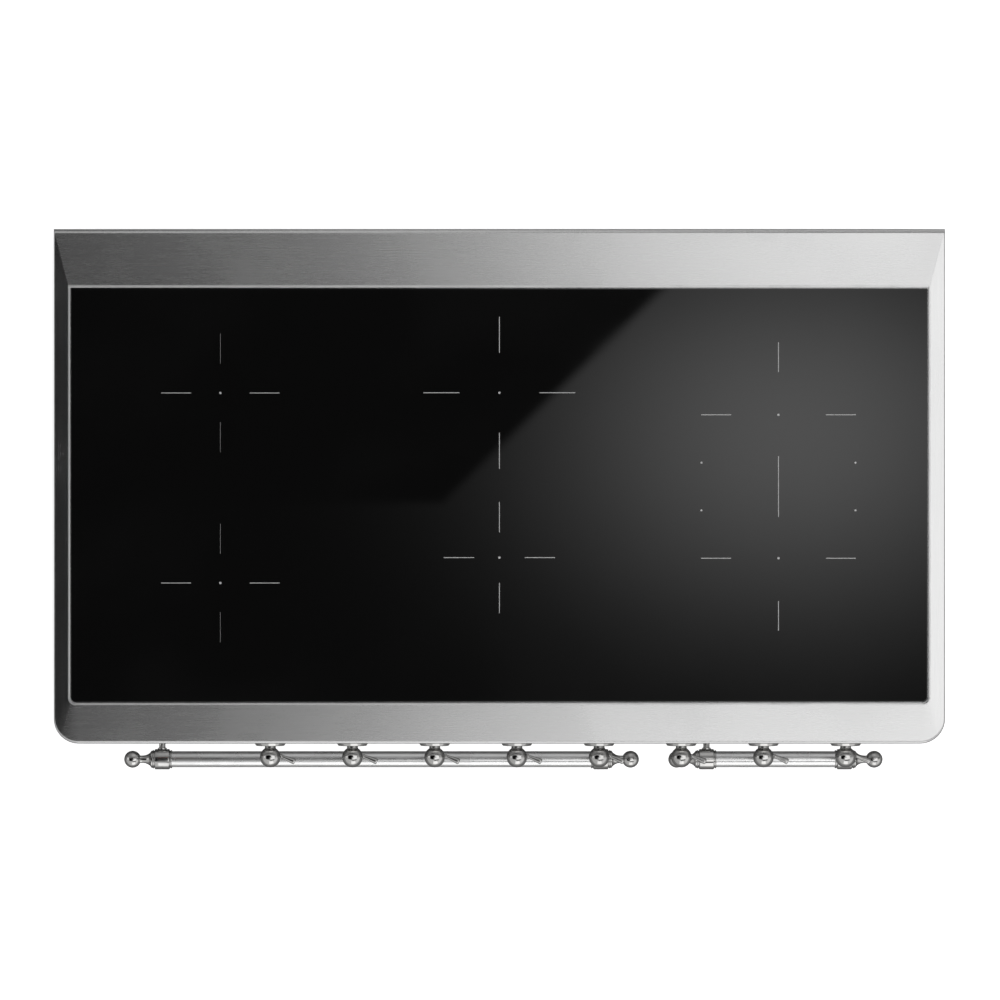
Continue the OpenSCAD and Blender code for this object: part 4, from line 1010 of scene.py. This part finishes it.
foot_rubber = moulded_finish("foot_rubber", (0.018,) * 3, (0.05,) * 3, 0.75, 1200.0, 0.00006)
black_nylon = moulded_finish("black_nylon", (0.014,) * 3, (0.035,) * 3, 0.45, 1600.0, 0.00003)
ivory_moulding = moulded_finish("ivory_moulding", (0.62, 0.59, 0.5), (0.72, 0.69, 0.6), 0.5, 1400.0, 0.00003)
sensor_ceramic = moulded_finish("sensor_ceramic", (0.7, 0.7, 0.68), (0.8, 0.8, 0.78), 0.6, 2000.0, 0.00002)
ferrite_core = moulded_finish("ferrite_core", (0.03, 0.03, 0.034), (0.07, 0.07, 0.075), 0.65, 1500.0, 0.00003)
for node, finish in (
    ("support_feet", foot_rubber), ("glass_seal", foot_rubber), ("cable_gland", black_nylon),
    ("fan_frames", black_nylon), ("fan_rotor_left", black_nylon), ("fan_rotor_right", black_nylon),
    ("encoders", black_nylon),
    ("terminal_block", ivory_moulding), ("coil_carriers", ivory_moulding), ("zone_sensors", sensor_ceramic),
    ("ferrite_bars", ferrite_core),
):
    finish_node(node, finish)

# ------------------------------------------------------------------ windings
# Each winding is a flat spiral of lacquered copper litz on its carrier. It shows as fine twisted strand,
# with a tone that drifts a little across the spiral.
litz_copper, nodes, links, shader = new_material("litz_copper")
litz_place = nodes.new("ShaderNodeTexCoord")
strand = noise_on(nodes, links, litz_place.outputs["Object"], 900.0, 3.0)
tone = noise_on(nodes, links, litz_place.outputs["Object"], 60.0, 2.0)
colour_from(nodes, links, shader, tone, (0.36, 0.13, 0.045), (0.55, 0.23, 0.09))
shader.inputs["Metallic"].default_value = 0.75
roughness_from(nodes, links, shader, strand, 0.25, 0.28)
bump_from(nodes, links, shader, strand, 0.00025)
for node in ("coils_left", "coil_middle_rear", "coil_middle_front", "coils_right"):
    finish_node(node, litz_copper)

# ------------------------------------------------------------------ power electronics
# Green glass-fibre boards carry black parts and extruded aluminium heat sinks. Shields of mill-finish
# aluminium sheet lie over them, and spring steel leaves press the coil carriers up to the glass.
mill_aluminium = brushed_finish("mill_aluminium", "X", tint=0.68, rough=0.38)
for node in ("shield_plates", "heat_sinks"):
    finish_node(node, mill_aluminium)
finish_node("carrier_springs", brushed_finish("spring_steel", "X", tint=0.45, rough=0.32))
board_green, nodes, links, shader = new_material("board_green")
board_place = nodes.new("ShaderNodeTexCoord")
tracks = nodes.new("ShaderNodeTexBrick")
tracks.inputs["Scale"].default_value = 70.0
tracks.inputs["Mortar Size"].default_value = 0.03
tracks.inputs["Color1"].default_value = (0.012, 0.09, 0.035, 1)
tracks.inputs["Color2"].default_value = (0.018, 0.12, 0.045, 1)
tracks.inputs["Mortar"].default_value = (0.006, 0.05, 0.02, 1)
links.new(board_place.outputs["Object"], tracks.inputs["Vector"])
links.new(tracks.outputs["Color"], shader.inputs["Base Color"])
roughness_from(nodes, links, shader, tracks.outputs["Fac"], 0.15, 0.3)
for node in ("power_boards", "control_boards"):
    finish_node(node, board_green)
component_body, nodes, links, shader = new_material("component_bodies")
part_place = nodes.new("ShaderNodeTexCoord")
patches = nodes.new("ShaderNodeTexVoronoi")
patches.inputs["Scale"].default_value = 24.0
links.new(part_place.outputs["Object"], patches.inputs["Vector"])
sort = nodes.new("ShaderNodeSeparateColor")
links.new(patches.outputs["Color"], sort.inputs[0])
colour_from(nodes, links, shader, sort.outputs[0], (0.03, 0.03, 0.035), (0.08, 0.075, 0.06))
roughness_from(nodes, links, shader, sort.outputs[1], 0.2, 0.35)
finish_node("board_components", component_body)
loom_finish = moulded_finish("wire_insulation", (0.34, 0.07, 0.02), (0.45, 0.1, 0.03), 0.5, 900.0, 0.00004)
finish_node("wiring_loom", loom_finish)

size = {"cad": cad_box, "visual": [list(corner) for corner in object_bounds()]}
